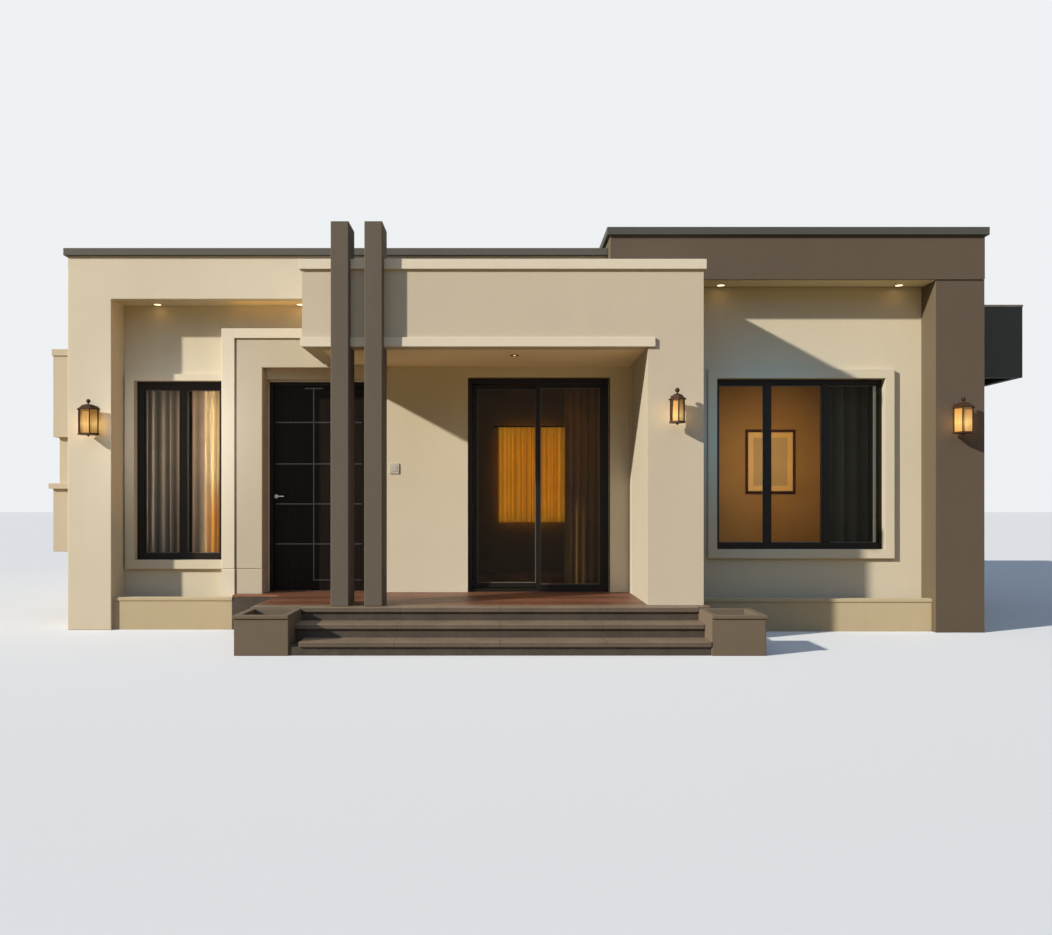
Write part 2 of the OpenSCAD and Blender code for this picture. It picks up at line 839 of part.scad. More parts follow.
module right_coping() {
    color(taupe) translate([0, 0, right_top]) linear_extrude(right_coping_t) difference() {
        area(roof_step_x - coping_out, right_x + coping_out,
            right_front_y - coping_out, back_y + coping_out);
        area(roof_step_x + wall_t + coping_out, right_in_x - coping_out,
            wall_y + coping_out, back_in_y - coping_out);
    }
}

// The pier is a wall as deep as the porch, raised at the back to carry the right fascia
module portico_pier() {
    color(beige) {
        block(pier_x, pier_end_x, porch_front_y, right_wall_y, base_z, portico_top);
        block(pier_x, pier_end_x, right_front_y, right_wall_y, portico_top, right_fascia_z);
    }
}

// The space that both fins take up
module fin_space(z0, z1) {
    for (x = fin_x)
        block(x, x + fin_w, fin_y, fin_y + fin_depth, z0, z1);
}

module portico_front() {
    color(beige) difference() {
        block(portico_x, pier_x, porch_front_y, porch_front_y + portico_wall_t,
            soffit_z, portico_top);
        fin_space(0, fin_top + 1);
    }
}

module portico_side() {
    color(beige) difference() {
        union() {
            block(portico_x, portico_x + portico_wall_t, porch_front_y + portico_wall_t,
                wall_y, soffit_z, left_beam_z);
            block(portico_x, portico_x + portico_wall_t, porch_front_y + portico_wall_t,
                left_front_y, left_beam_z, portico_top);
        }
        block(portico_x - 1, surround_x1, surround_front_y, wall_y + 1, 0, surround_top);
    }
}

module portico_roof() {
    color(beige) difference() {
        block(portico_x + portico_wall_t, pier_x, porch_front_y + portico_wall_t, wall_y,
            soffit_z, soffit_z + portico_slab_t);
        block(portico_x, surround_x1, surround_front_y, wall_y + 1, 0, surround_top);
        fin_space(0, fin_top + 1);
    }
}

module portico_coping() {
    color(cream) translate([0, 0, portico_top]) difference() {
        linear_extrude(portico_coping_t) difference() {
            area(portico_x - portico_coping_out, pier_end_x + portico_coping_out,
                porch_front_y - portico_coping_out, left_front_y);
            area(portico_x + portico_wall_t, pier_x, porch_front_y + portico_wall_t,
                left_front_y + 1);
            area(pier_x - 1, pier_end_x + portico_coping_out + 1, right_front_y,
                left_front_y + 1);
        }
        translate([0, 0, -portico_top]) fin_space(0, fin_top + 1);
    }
}

// The pale band along the foot of the portico's front
module portico_band() {
    color(cream) difference() {
        block(portico_x - band_out / 2, pier_x + band_lap, porch_front_y - band_out, porch_front_y,
            soffit_z, soffit_z + band_h);
        fin_space(0, fin_top + 1);
    }
}

module fin(i) {
    color(taupe) block(fin_x[i], fin_x[i] + fin_w, fin_y, fin_y + fin_depth, floor_h, fin_top);
}

module fin_left() {
    fin(0);
}

module fin_right() {
    fin(1);
}

// The outer band of the door surround: a head, and a left leg down to the ground
module surround_band() {
    in_top = surround_top - surround_band_h;
    color(cream) difference() {
        upright(surround_front_y, wall_y - surround_front_y) polygon([
            [surround_x0, 0], [surround_x0, surround_top], [surround_x1, surround_top],
            [surround_x1, in_top], [surround_x0 + surround_band_w, in_top],
            [surround_x0 + surround_band_w, 0]]);
        plinth_line(surround_front_y);
    }
}

// The fine groove across the foot of the surround, cut from the face y
module plinth_line(y) {
    block(surround_x0 - 1, surround_x1 + 1, y - 1, y + plinth_groove,
        plinth_z, plinth_z + plinth_groove);
}

// The inner panel of the door surround, grooved where it meets the band
module surround_panel() {
    x0 = surround_x0 + surround_band_w;
    top = surround_top - surround_band_h;
    color(beige) difference() {
        upright(surround_y, surround_out) polygon([
            [x0, 0], [x0, top], [surround_x1, top], [surround_x1, surround_head],
            [door_x0, surround_head], [door_x0, 0]]);
        upright(surround_y - 1, groove_d + 1) difference() {
            area(x0 - 1, surround_x1 + 1, -1, top + 1);
            area(x0 + groove_w, surround_x1 + 2, -2, top - groove_w);
        }
        plinth_line(surround_y);
    }
}

module door_frame() {
    color(black) {
        upright(door_frame_y, door_frame_d) difference() {
            area(door_x0, door_x1, floor_h, door_head_z);
            area(door_x0 + door_post, door_x1 - door_post, floor_h - 1, door_head_z - door_post);
        }
        upright(door_frame_y, stop_d) difference() {
            area(door_x0, door_x1, floor_h, door_head_z);
            area(door_x0 + door_post + door_stop, door_x1 - door_post - door_stop,
                floor_h - 1, door_head_z - door_post - door_stop);
        }
        for (z = hinge_levels) {
            translate([hinge_x, hinge_y, z - hinge_h / 2 - hinge_knuckle_h])
                cylinder(r = hinge_pin_r, h = hinge_h + 2 * hinge_knuckle_h);
            for (s = [-1, 1]) {
                foot = z + s * (hinge_h + hinge_knuckle_h + 2 * seat_gap) / 2
                    - hinge_knuckle_h / 2;
                translate([hinge_x, hinge_y, foot]) cylinder(r = hinge_r, h = hinge_knuckle_h);
                block(hinge_x + leaf_gap / 2, hinge_x + hinge_plate_w,
                    wall_in_y, hinge_y, foot, foot + hinge_knuckle_h);
            }
        }
    }
}

module front_door() {
    leaf_h = leaf_z1 - leaf_z0;
    inlay_x = leaf_x0 + 0.445 * (leaf_x1 - leaf_x0);
    color(black) difference() {
        union() {
            block(leaf_x0, leaf_x1, leaf_y0, leaf_y1, leaf_z0, leaf_z1);
            for (k = inlay_levels)
                block(leaf_x0 + inlay_side, leaf_x1 - inlay_side,
                    leaf_y0 - strip_out, leaf_y0,
                    leaf_z0 + k * leaf_h - strip_w / 2, leaf_z0 + k * leaf_h + strip_w / 2);
            block(inlay_x - strip_w / 2, inlay_x + strip_w / 2, leaf_y0 - strip_out, leaf_y0,
                leaf_z0 + inlay_end, leaf_z1 - inlay_side);
            block(inlay_x - strip_w / 2, leaf_x1 - inlay_side,
                leaf_y0 - strip_out, leaf_y0, leaf_z0 + inlay_end, leaf_z0 + inlay_end + strip_w);
            block(inlay_x - inlay_cap_w / 2, inlay_x + inlay_cap_w / 2,
                leaf_y0 - strip_out, leaf_y0, leaf_z1 - inlay_side - strip_w,
                leaf_z1 - inlay_side);
            for (z = hinge_levels) {
                translate([hinge_x, hinge_y, z - hinge_h / 2])
                    cylinder(r = hinge_r, h = hinge_h);
                block(hinge_x - hinge_plate_w, hinge_x - leaf_gap / 2, leaf_y1 - 1, hinge_y,
                    z - hinge_h / 2, z + hinge_h / 2);
            }
        }
        for (z = hinge_levels)
            translate([hinge_x, hinge_y, z - hinge_h / 2 - 1])
                cylinder(r = hinge_bore_r, h = hinge_h + 2);
    }
}

// A lever handle on each face of the leaf: a round rose, a neck and the lever
module door_handle() {
    handle_x = door_x0 + door_post + door_stop + rose_clear + rose_r;
    rose_t = 8;
    reach = 50;
    color("silver") for (face = [[leaf_y0, -1], [leaf_y1, 1]])
        translate([handle_x, face[0], floor_h + lever_level]) {
            rotate([-90 * face[1], 0, 0]) cylinder(r = rose_r, h = rose_t);
            rotate([-90 * face[1], 0, 0]) cylinder(r = lever_r, h = reach);
            translate([-lever_r, face[1] * reach, 0])
                rotate([0, 90, 0]) cylinder(r = lever_r, h = lever_len);
        }
}

// A sash: a ring of stiles and rails between two corners
module sash_ring(x0, x1, z0, z1, y) {
    upright(y, sash_t) difference() {
        area(x0, x1, z0, z1);
        area(x0 + sash_w, x1 - sash_w, z0 + sash_w, z1 - sash_w);
    }
}

module patio_frame() {
    color(black) {
        upright(patio_y, patio_frame_d) difference() {
            area(patio_x0, patio_x1, floor_h, patio_head_z);
            area(patio_x0 + patio_frame_w, patio_x1 - patio_frame_w,
                floor_h + sill_h, patio_head_z - patio_frame_w);
        }
        block(patio_x0 + patio_frame_w, patio_x1 - patio_frame_w, track_y - 3, track_y + 3,
            floor_h + sill_h, floor_h + sill_h + rail_h);
        sash_ring(patio_mid_x - sash_w / 2, patio_x1 - patio_frame_w, floor_h + sill_h,
            patio_head_z - patio_frame_w, fixed_sash_y);
    }
}

module patio_fixed_glass() {
    color("lightblue", 0.4) block(patio_mid_x + sash_w / 2, patio_x1 - patio_frame_w - sash_w,
        fixed_sash_y + (sash_t - glass_t) / 2, fixed_sash_y + (sash_t + glass_t) / 2,
        floor_h + sill_h + sash_w, patio_head_z - patio_frame_w - sash_w);
}

// The sliding sash, with its rollers in pockets under the bottom rail and a grip on its stile
module patio_sash() {
    roller_x = [sash_x0 + 140, sash_x1 - 140];
    color(black) {
        difference() {
            sash_ring(sash_x0, sash_x1, sash_z0, sash_z1, sash_y0);
            for (x = roller_x)
                block(x - roller_r - 6, x + roller_r + 6, track_y - roller_w, track_y + roller_w,
                    sash_z0 - 1, roller_z + roller_r + 6);
        }
        for (x = roller_x) {
            translate([x, track_y + roller_w / 2, roller_z]) rotate([90, 0, 0])
                cylinder(r = roller_r, h = roller_w);
            translate([x, track_y + roller_w + 3, roller_z]) rotate([90, 0, 0])
                cylinder(r = 3, h = 2 * roller_w + 6);
        }
        block(sash_x0 + 22, sash_x0 + 40, sash_y0 - 12, sash_y0,
            floor_h + grip_level, floor_h + grip_level + grip_len);
    }
}

module patio_sash_glass() {
    color("lightblue", 0.4) block(sash_x0 + sash_w, sash_x1 - sash_w,
        sash_y0 + (sash_t - glass_t) / 2, sash_y0 + (sash_t + glass_t) / 2,
        sash_z0 + sash_w, sash_z1 - sash_w);
}

module left_window_frame() {
    color(black) translate([left_window_x, wall_y, left_window_z])
        window_frame(left_window_w, left_window_h, left_frame_widths, [left_mullion_share]);
}

module right_window_frame() {
    color(black) translate([right_window_x, right_wall_y, right_window_z])
        window_frame(right_window_w, right_window_h, right_frame_widths, right_mullion_shares);
}

module front_glass() {
    color("lightblue", 0.4) {
        translate([left_window_x, wall_y, left_window_z])
            window_pane(left_window_w, left_window_h, left_frame_widths);
        translate([right_window_x, right_wall_y, right_window_z])
            window_pane(right_window_w, right_window_h, right_frame_widths);
    }
}

// Places a child in every window opening of the sides and the back
module at_plain_windows() {
    on_left_wall(left_side_window_y + plain_window_w, plain_window_z) children();
    for (y = right_side_window_y) on_right_wall(y, plain_window_z) children();
    for (x = back_window_x) on_back_wall(x + plain_window_w, plain_window_z) children();
}

module side_window_frames() {
    color(black) at_plain_windows()
        window_frame(plain_window_w, plain_window_h, plain_frame_widths, [0.5]);
}

module side_glass() {
    color("lightblue", 0.4) at_plain_windows()
        window_pane(plain_window_w, plain_window_h, plain_frame_widths);
}

// The bay on the left side: a lower and an upper box, joined by the ends of the glass band
module side_bay() {
    x0 = left_x - bay_out;
    ledge_z = bay_sill_z + bay_ledge_t;
    color(cream) {
        difference() {
            union() {
                block(x0, left_x, bay_y0, bay_y1, bay_z, bay_sill_z);
                block(x0 - 45, left_x, bay_y0 - 45, bay_y1 + 45, bay_sill_z, ledge_z);
            }
            block(x0 + bay_wall, left_x + 1, bay_y0 + bay_wall, bay_y1 - bay_wall,
                bay_z + bay_wall, ledge_z + 1);
        }
        difference() {
            union() {
                block(x0, left_x, bay_y0, bay_y1, bay_head_z, bay_top_z);
                block(x0 - 15, left_x, bay_y0 - 15, bay_y1 + 15, bay_top_z,
                    bay_top_z + bay_cap_t);
            }
            block(x0 + bay_wall, left_x + 1, bay_y0 + bay_wall, bay_y1 - bay_wall,
                bay_head_z - 1, bay_top_z - bay_wall);
        }
        for (y = [bay_y0 + recess_of_glazing, bay_y1 - bay_wall])
            block(x0 + recess_of_glazing, left_x, y, y + bay_wall - recess_of_glazing,
                ledge_z - 1, bay_head_z + 1);
    }
}

// The band of tinted glass along the bay's long side
module bay_glazing() {
    x0 = left_x - bay_out + recess_of_glazing;
    color([0.12, 0.14, 0.15])
        block(x0, x0 + bay_glass_t, bay_y0 + bay_wall, bay_y1 - bay_wall,
            bay_sill_z + bay_ledge_t, bay_head_z);
}

// The dark box canopy over the right side's front window, open underneath
module side_canopy() {
    color([0.20, 0.20, 0.20]) difference() {
        block(right_x, right_x + canopy_out, canopy_y0, canopy_y0 + canopy_len,
            canopy_z, canopy_z + canopy_h);
        block(right_x - 1, right_x + canopy_out - canopy_wall, canopy_y0 + canopy_wall,
            canopy_y0 + canopy_len - canopy_wall, canopy_z - 1,
            canopy_z + canopy_h - canopy_wall);
    }
}

// Height of a lantern from the underside of its base to the top of its finial
function lantern_h(glass_h) =
    lantern_base_h + glass_h + lantern_roof_h + lantern_neck_h + 2 * lantern_finial_r - 4;

// Radius through the corner posts of a six-sided lantern of that width
function cage_r(w) = w / sqrt(3) - lantern_post_r;

// A lantern on the wall's face y = 0: back plate, arm, six-sided cage, domed roof, ball finial
module lantern(w, glass_h, turn) {
    r = cage_r(w);
    plate_w = 96;
    plate_t = 16;
    lid_z = lantern_base_h + glass_h;
    ball_z = lid_z + lantern_roof_h + lantern_neck_h + lantern_finial_r - 4;
    translate([0, -lantern_arm, lantern_top - lantern_h(glass_h)]) rotate([0, 0, turn]) {
        cylinder(r = r + 2 * lantern_post_r, h = lantern_base_h, $fn = 6);
        translate([0, 0, -22]) cylinder(r1 = 7, r2 = 20, h = 24, $fn = 24);
        for (i = [0:5])
            rotate([0, 0, 60 * i]) translate([r, 0, lantern_base_h])
                cylinder(r = lantern_post_r, h = glass_h, $fn = 16);
        translate([0, 0, lid_z]) rotate_extrude($fn = 6) polygon([
            [0, 0], [r + 24, 0], [r + 24, 12], [r * 0.98, 24], [r * 0.86, 42], [r * 0.62, 58],
            [r * 0.30, lantern_roof_h - 4], [0, lantern_roof_h]]);
        translate([0, 0, ball_z]) sphere(r = lantern_finial_r, $fn = 24);
        translate([0, 0, lid_z + lantern_roof_h - 10])
            cylinder(r = 10, h = lantern_neck_h + 24, $fn = 24);
    }
    translate([0, 0, lantern_top - lantern_h(glass_h) + lid_z]) {
        block(-14, 14, -lantern_arm, -plate_t / 2, 2, 22);
        block(-plate_w / 2, plate_w / 2, -plate_t, 0, -130, 60);
    }
}

module wall_lanterns() {
    color(bronze) for (p = lantern_places) translate([p[0], p[1], 0]) lantern(p[2], p[3], p[4]);
}

module lantern_glasses() {
    color("orange") for (p = lantern_places)
        translate([p[0], p[1] - lantern_arm, lantern_top - lantern_h(p[3]) + lantern_base_h])
            rotate([0, 0, p[4]])
                cylinder(r = cage_r(p[2]) - lantern_post_r - 2, h = p[3], $fn = 6);
}

// Rods on brackets that reach the wall
module curtain_rods() {
    color(bronze) for (s = rod_spans) {
        translate([s[0], s[2], s[4]]) rotate([0, 90, 0]) cylinder(r = rod_r, h = s[1] - s[0]);
        for (x = [s[0] + bracket_inset, s[1] - bracket_inset])
            block(x - bracket_w / 2, x + bracket_w / 2, min(s[2], s[3]), max(s[2], s[3]),
                s[4] - bracket_w / 2, s[4] + bracket_w / 2);
    }
}

module curtains() {
    color([0.80, 0.55, 0.28]) for (s = curtain_spans)
        block(s[0], s[1], s[2][2] - curtain_t / 2, s[2][2] + curtain_t / 2,
            s[3], s[2][4] - rod_r - seat_gap);
}

floor_slab();
porch_base();
porch_deck();
step_treads();
box_planter_left();
box_planter_right();
planter_left();
planter_right();
front_wall_left();
door_head_wall();
porch_wall_middle();
patio_head_wall();
porch_wall_right();
front_wall_right();
left_wall();
right_wall();
back_wall();
room_wall();
left_frame_leg();
front_beam();
right_column();
right_fascia();
roof_slab();
roof_divider();
left_coping();
right_coping();
portico_pier();
portico_front();
portico_side();
portico_roof();
portico_coping();
portico_band();
fin_left();
fin_right();
surround_band();
surround_panel();
door_frame();
front_door();
door_handle();
patio_frame();
patio_fixed_glass();
patio_sash();
patio_sash_glass();
left_window_frame();
right_window_frame();
front_glass();
side_window_frames();
side_glass();
side_bay();
bay_glazing();
side_canopy();
wall_lanterns();
lantern_glasses();
curtain_rods();
curtains();
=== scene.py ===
"""Looks of a flat-roofed bungalow with an entrance portico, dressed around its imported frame.

Metres throughout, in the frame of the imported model: X runs to the right along the front, Y from
the front to the back, and Z is up.
"""

from __future__ import annotations

import logging
import math
import random
from dataclasses import dataclass, replace
from enum import Enum
from typing import Any, Iterable, Optional, Sequence

import bmesh
import bpy
from mathutils import Matrix, Vector


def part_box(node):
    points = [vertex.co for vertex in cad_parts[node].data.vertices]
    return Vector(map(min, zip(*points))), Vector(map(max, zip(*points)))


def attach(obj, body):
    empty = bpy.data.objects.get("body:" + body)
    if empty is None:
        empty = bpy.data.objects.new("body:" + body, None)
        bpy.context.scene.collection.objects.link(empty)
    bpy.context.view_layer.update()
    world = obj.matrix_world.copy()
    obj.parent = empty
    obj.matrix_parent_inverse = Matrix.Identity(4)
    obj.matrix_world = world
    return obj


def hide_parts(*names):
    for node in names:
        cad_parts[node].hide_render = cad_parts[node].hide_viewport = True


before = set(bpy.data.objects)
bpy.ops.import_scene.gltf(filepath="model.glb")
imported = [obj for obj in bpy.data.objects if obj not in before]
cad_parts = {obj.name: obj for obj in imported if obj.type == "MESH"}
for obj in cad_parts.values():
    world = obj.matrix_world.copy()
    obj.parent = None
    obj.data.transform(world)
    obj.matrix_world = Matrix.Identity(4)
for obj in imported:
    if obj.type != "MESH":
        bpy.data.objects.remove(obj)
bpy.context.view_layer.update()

LOG = logging.getLogger("bungalow")

Colour = tuple[float, float, float]
Point = tuple[float, float, float]
Box = tuple[Vector, Vector]

MM = 0.001
MERGE = 0.05 * MM
ARRIS = 9 * MM
SOFFIT_BOARD = 6 * MM
SHARP = math.radians(35)
NEARLY_FLAT = math.radians(1)
FACING = 0.7
NOISE_LOW, NOISE_HIGH = 0.3, 0.7


class Body(Enum):
    """The bodies that the new pieces ride on."""

    HOUSE = "house"
    PATIO_LEAF = "patio_leaf"


class Way(Enum):
    """The six ways that a flat face can point."""

    LEFT = (-1, 0, 0)
    RIGHT = (1, 0, 0)
    FRONT = (0, -1, 0)
    BACK = (0, 1, 0)
    UP = (0, 0, 1)
    DOWN = (0, 0, -1)


def rgba(colour: Colour, tone: float = 1.0) -> tuple[float, float, float, float]:
    """A colour with full cover, lighter or darker by its tone."""
    return (*(tone * c for c in colour), 1.0)


class Tree:
    """Adds shader nodes to one node tree and joins them up."""

    def __init__(self, tree: bpy.types.NodeTree) -> None:
        """Keeps the tree and empties it.

        Args:
            tree: the node tree of a material or a world.
        """
        self.tree = tree
        self.tree.nodes.clear()

    def add(self, kind: str, inputs: Optional[dict[Any, Any]] = None,
            **settings: Any) -> bpy.types.Node:
        """Adds one node.

        Args:
            kind: the node's type, without the word ShaderNode in front.
            inputs: a socket to join or a value to set, by socket name or number.
            settings: the node's own settings.

        Returns:
            The new node.
        """
        node = self.tree.nodes.new("ShaderNode" + kind)
        for name, value in settings.items():
            setattr(node, name, value)
        for key, value in (inputs or {}).items():
            if isinstance(value, bpy.types.NodeSocket):
                self.tree.links.new(value, node.inputs[key])
            else:
                node.inputs[key].default_value = value
        return node

    def calc(self, kind: str, a: Any, b: Any = 0.0, clamp: bool = False) -> bpy.types.NodeSocket:
        """One step of arithmetic.

        Args:
            kind: the operation, such as ADD or MULTIPLY.
            a: the first value or socket.
            b: the second value or socket.
            clamp: whether the result is kept between 0 and 1.

        Returns:
            The result's socket.
        """
        return self.add("Math", {0: a, 1: b}, operation=kind, use_clamp=clamp).outputs[0]

    def times(self, value: Any, *others: Any) -> Any:
        """The product of two or more values.

        Args:
            value: the first value or socket.
            others: what it is multiplied by, each a value or a socket.

        Returns:
            The product's socket.
        """
        for other in others:
            value = self.calc("MULTIPLY", value, other)
        return value

    def place(self, scale: Point = (1, 1, 1), uv: bool = False) -> bpy.types.NodeSocket:
        """The point that a pattern is read at.

        Args:
            scale: how many times finer the pattern is along each axis.
            uv: whether the piece's own flat map is read in place of its own space.

        Returns:
            The socket that carries the point.
        """
        source = self.add("TexCoord").outputs["UV" if uv else "Object"]
        if scale == (1, 1, 1):
            return source
        return self.add("Mapping", {"Vector": source, "Scale": scale}).outputs[0]

    def noise(self, at: bpy.types.NodeSocket, scale: float, detail: float = 3.0,
              roughness: float = 0.5) -> bpy.types.NodeSocket:
        """Smooth random values, about 0.5 in the middle.

        Args:
            at: the point that the values are read at.
            scale: how fine the pattern is.
            detail: how many finer layers are added.
            roughness: how strong those layers are.

        Returns:
            The value's socket.
        """
        return self.add("TexNoise", {"Vector": at, "Scale": scale, "Detail": detail,
                                     "Roughness": roughness}).outputs[0]

    def span(self, value: bpy.types.NodeSocket, low: float, high: float, to_low: float = 0.0,
             to_high: float = 1.0) -> bpy.types.NodeSocket:
        """Stretches a range of values to another range, clamped.

        Args:
            value: the value's socket.
            low: the low end of the range that is read.
            high: the high end of the range that is read.
            to_low: what the low end becomes.
            to_high: what the high end becomes.

        Returns:
            The result's socket.
        """
        return self.add("MapRange", {"Value": value, "From Min": low, "From Max": high,
                                     "To Min": to_low, "To Max": to_high}).outputs[0]

    def vary(self, at: bpy.types.NodeSocket, scale: float, detail: float, low: float = 0.0,
             high: float = 1.0, roughness: float = 0.5) -> bpy.types.NodeSocket:
        """Smooth random values between two ends.

        Args:
            at: the point that the values are read at.
            scale: how fine the pattern is.
            detail: how many finer layers are added.
            low: the value in the darkest patches.
            high: the value in the brightest patches.
            roughness: how strong the finer layers are.

        Returns:
            The value's socket.
        """
        return self.span(self.noise(at, scale, detail, roughness), NOISE_LOW, NOISE_HIGH, low, high)

    def blend(self, share: Any, a: Any, b: Any, kind: str = "MIX") -> bpy.types.NodeSocket:
        """Mixes two colours.

        Args:
            share: how much of the second colour is taken.
            a: the first colour or socket.
            b: the second colour or socket.
            kind: the way of mixing.

        Returns:
            The colour's socket.
        """
        return self.add("Mix", {0: share, 6: a, 7: b}, data_type="RGBA", blend_type=kind).outputs[2]

    def relief(self, height: bpy.types.NodeSocket, depth: float,
               under: Optional[bpy.types.NodeSocket] = None) -> bpy.types.NodeSocket:
        """Fine relief on the surface.

        Args:
            height: the height's socket, from 0 to 1.
            depth: the relief's full height, in metres.
            under: relief that this one is laid over.

        Returns:
            The normal's socket.
        """
        inputs: dict[Any, Any] = {"Height": height, "Distance": depth, "Strength": 1.0}
        if under is not None:
            inputs["Normal"] = under
        return self.add("Bump", inputs).outputs[0]

    def axes(self) -> Sequence[bpy.types.NodeSocket]:
        """The three coordinates of the point on the piece."""
        return self.add("SeparateXYZ", {0: self.add("TexCoord").outputs["Object"]}).outputs

    def facing(self, way: Way) -> bpy.types.NodeSocket:
        """Tells where a face points about one way.

        Args:
            way: one of the six ways.

        Returns:
            A socket that gives 1 there and 0 elsewhere.
        """
        normal = self.add("NewGeometry").outputs["True Normal"]
        along = self.add("VectorMath", {0: normal, 1: way.value}, operation="DOT_PRODUCT")
        return self.calc("GREATER_THAN", along.outputs[1], FACING)

    def surface(self, colour: Any, roughness: Any, normal: bpy.types.NodeSocket,
                more: Optional[dict[str, Any]] = None) -> bpy.types.NodeSocket:
        """The shader of a solid surface.

        Args:
            colour: its colour, or the colour's socket.
            roughness: its roughness, or the roughness's socket.
            normal: the relief's socket.
            more: other inputs of the shader, by name.

        Returns:
            The shader's socket.
        """
        return self.add("BsdfPrincipled", {"Base Color": colour, "Roughness": roughness,
                                           "Normal": normal, **(more or {})}).outputs[0]

    def end(self, surface: bpy.types.NodeSocket) -> None:
        """Joins the last shader to the output."""
        self.add("OutputMaterial", {"Surface": surface})


@dataclass(frozen=True)
class Finish:
    """What every finish has: a name, the record's slot and a colour.

    Attributes:
        name: the name of its material.
        slot: the record's slot for it; not used.
        colour: its main colour.
    """

    name: str
    slot: str
    colour: Colour

    def material(self) -> bpy.types.Material:
        """Gives the material, and makes it at the first call.

        Returns:
            The material with this finish's name.
        """
        label = "finish." + self.name
        found = bpy.data.materials.get(label)
        if found is None:
            found = bpy.data.materials.new(label)
            found.use_nodes = True
            found.diffuse_color = rgba(self.colour)
            self.build(Tree(found.node_tree))
        return found

    def build(self, tree: Tree) -> None:
        """Makes the nodes; each kind of finish has its own way."""
        raise NotImplementedError


@dataclass(frozen=True)
class PaintedShading:
    """Painted light and shade: another tone on the faces of a wall that point one way.

    Attributes:
        way: the way that those faces point.
        colour: their painted tone, standing in for the light or shade on them.
        below: the height that this painted tone reaches.
    """

    way: Way
    colour: Colour
    below: float = 9.0


@dataclass(frozen=True)
class Render(Finish):
    """Painted sand and cement render, floated flat, with faint runs and a dusty foot.

    Attributes:
        roughness: how dull the paint is.
        grain: the height of the sand.
        runs: how much the runs darken it.
        foot: how much dust lies at the ground.
        foot_z: the height that the dust reaches.
        dusty: the tone where the dust is thickest.
        floated: the height of the float's marks.
        painted_shading: painted light and shade, a tone on the faces that point one way.
    """

    roughness: float = 0.88
    grain: float = 0.5 * MM
    runs: float = 0.025
    foot: float = 0.18
    foot_z: float = 0.35
    dusty: float = 0.62
    floated: float = 1.6 * MM
    painted_shading: tuple[PaintedShading, ...] = ()

    def build(self, tree: Tree) -> None:
        """Paint over a floated face: cloudy tone, runs below edges, dust at the foot.

        Args:
            tree: the material's node tree.
        """
        here = tree.place()
        clouds = tree.vary(here, 0.7, 4.0, 0.97, 1.03)
        runs = tree.span(tree.noise(tree.place((4.0, 4.0, 0.3)), 1.0, 2.0), 0.35, 0.75,
                         1.0, 1.0 - self.runs)
        grit = tree.vary(here, 210.0, 2.0, 0.97, 1.03)
        colour: Any = rgba(self.colour)
        # Painted light and shade: faces that point one way take another tone for the light that
        # falls on them.
        for shading in self.painted_shading:
            reached = tree.calc("LESS_THAN", tree.axes()[2], shading.below)
            colour = tree.blend(tree.times(tree.facing(shading.way), reached), colour,
                                rgba(shading.colour))
        height = tree.span(tree.axes()[2], 0.0, self.foot_z, self.foot, 0.0)
        dust = tree.calc("MULTIPLY", height, tree.vary(here, 5.0, 5.0), clamp=True)
        tone = tree.times(clouds, runs, grit, tree.span(dust, 0.0, 1.0, 1.0, self.dusty))
        colour = tree.blend(1.0, colour, tone, "MULTIPLY")
        marks = tree.relief(tree.noise(here, 7.0, 3.0), self.floated)
        sandy = tree.relief(tree.noise(here, 330.0, 3.0, 0.6), self.grain, marks)
        tree.end(tree.surface(colour, self.roughness, sandy, {"Specular IOR Level": 0.25}))


@dataclass(frozen=True)
class Paint(Render):
    """Smooth paint indoors or under cover, with no runs and no dusty foot."""

    grain: float = 0.2 * MM
    runs: float = 0.0
    foot: float = 0.0


@dataclass(frozen=True)
class Stone(Finish):
    """Honed stone or concrete, speckled, with pale patches, and a painted highlight on its upper
    faces.

    Attributes:
        fleck: the colour of the flecks.
        roughness: how dull it is.
        size: how fine the flecks are.
        slab: the length of a slab, 0 where it is cast in one.
        top_highlight: the tone of the upper faces, a painted highlight.
        joint: the width of the joint between slabs.
        joint_depth: how deep that joint is.
        joint_colour: the colour in that joint.
    """

    fleck: Colour = (0.2, 0.17, 0.13)
    roughness: float = 0.55
    size: float = 90.0
    slab: float = 0.0
    top_highlight: float = 1.0
    joint: float = 5 * MM
    joint_depth: float = 2 * MM
    joint_colour: Colour = (0.02, 0.017, 0.013)

    def build(self, tree: Tree) -> None:
        """Flecks, clouds and fine pits, and joints across the length where it is laid in slabs.

        Args:
            tree: the material's node tree.
        """
        here = tree.place()
        flecks = tree.span(tree.noise(here, self.size, 4.0, 0.7), 0.45, 0.68)
        clouds = tree.vary(here, 2.2, 5.0, 0.80, 1.16, 0.6)
        colour = tree.blend(flecks, rgba(self.colour), rgba(self.fleck))
        # Painted highlight: the faces that point up are made lighter by this tone.
        top_highlight = tree.span(tree.facing(Way.UP), 0.0, 1.0, 1.0, self.top_highlight)
        colour = tree.blend(1.0, colour, tree.times(clouds, top_highlight), "MULTIPLY")
        normal = tree.relief(tree.noise(here, self.size * 2, 3.0, 0.6), 0.35 * MM)
        if self.slab > 0:
            along = tree.calc("FRACT", tree.calc("DIVIDE", tree.axes()[0], self.slab))
            joint = tree.calc("LESS_THAN", along, self.joint / self.slab)
            colour = tree.blend(joint, colour, rgba(self.joint_colour))
            normal = tree.relief(tree.calc("SUBTRACT", 1.0, joint), self.joint_depth, normal)
        rough = tree.vary(here, 6.0, 4.0, self.roughness - 0.12, self.roughness + 0.12)
        tree.end(tree.surface(colour, rough, normal))


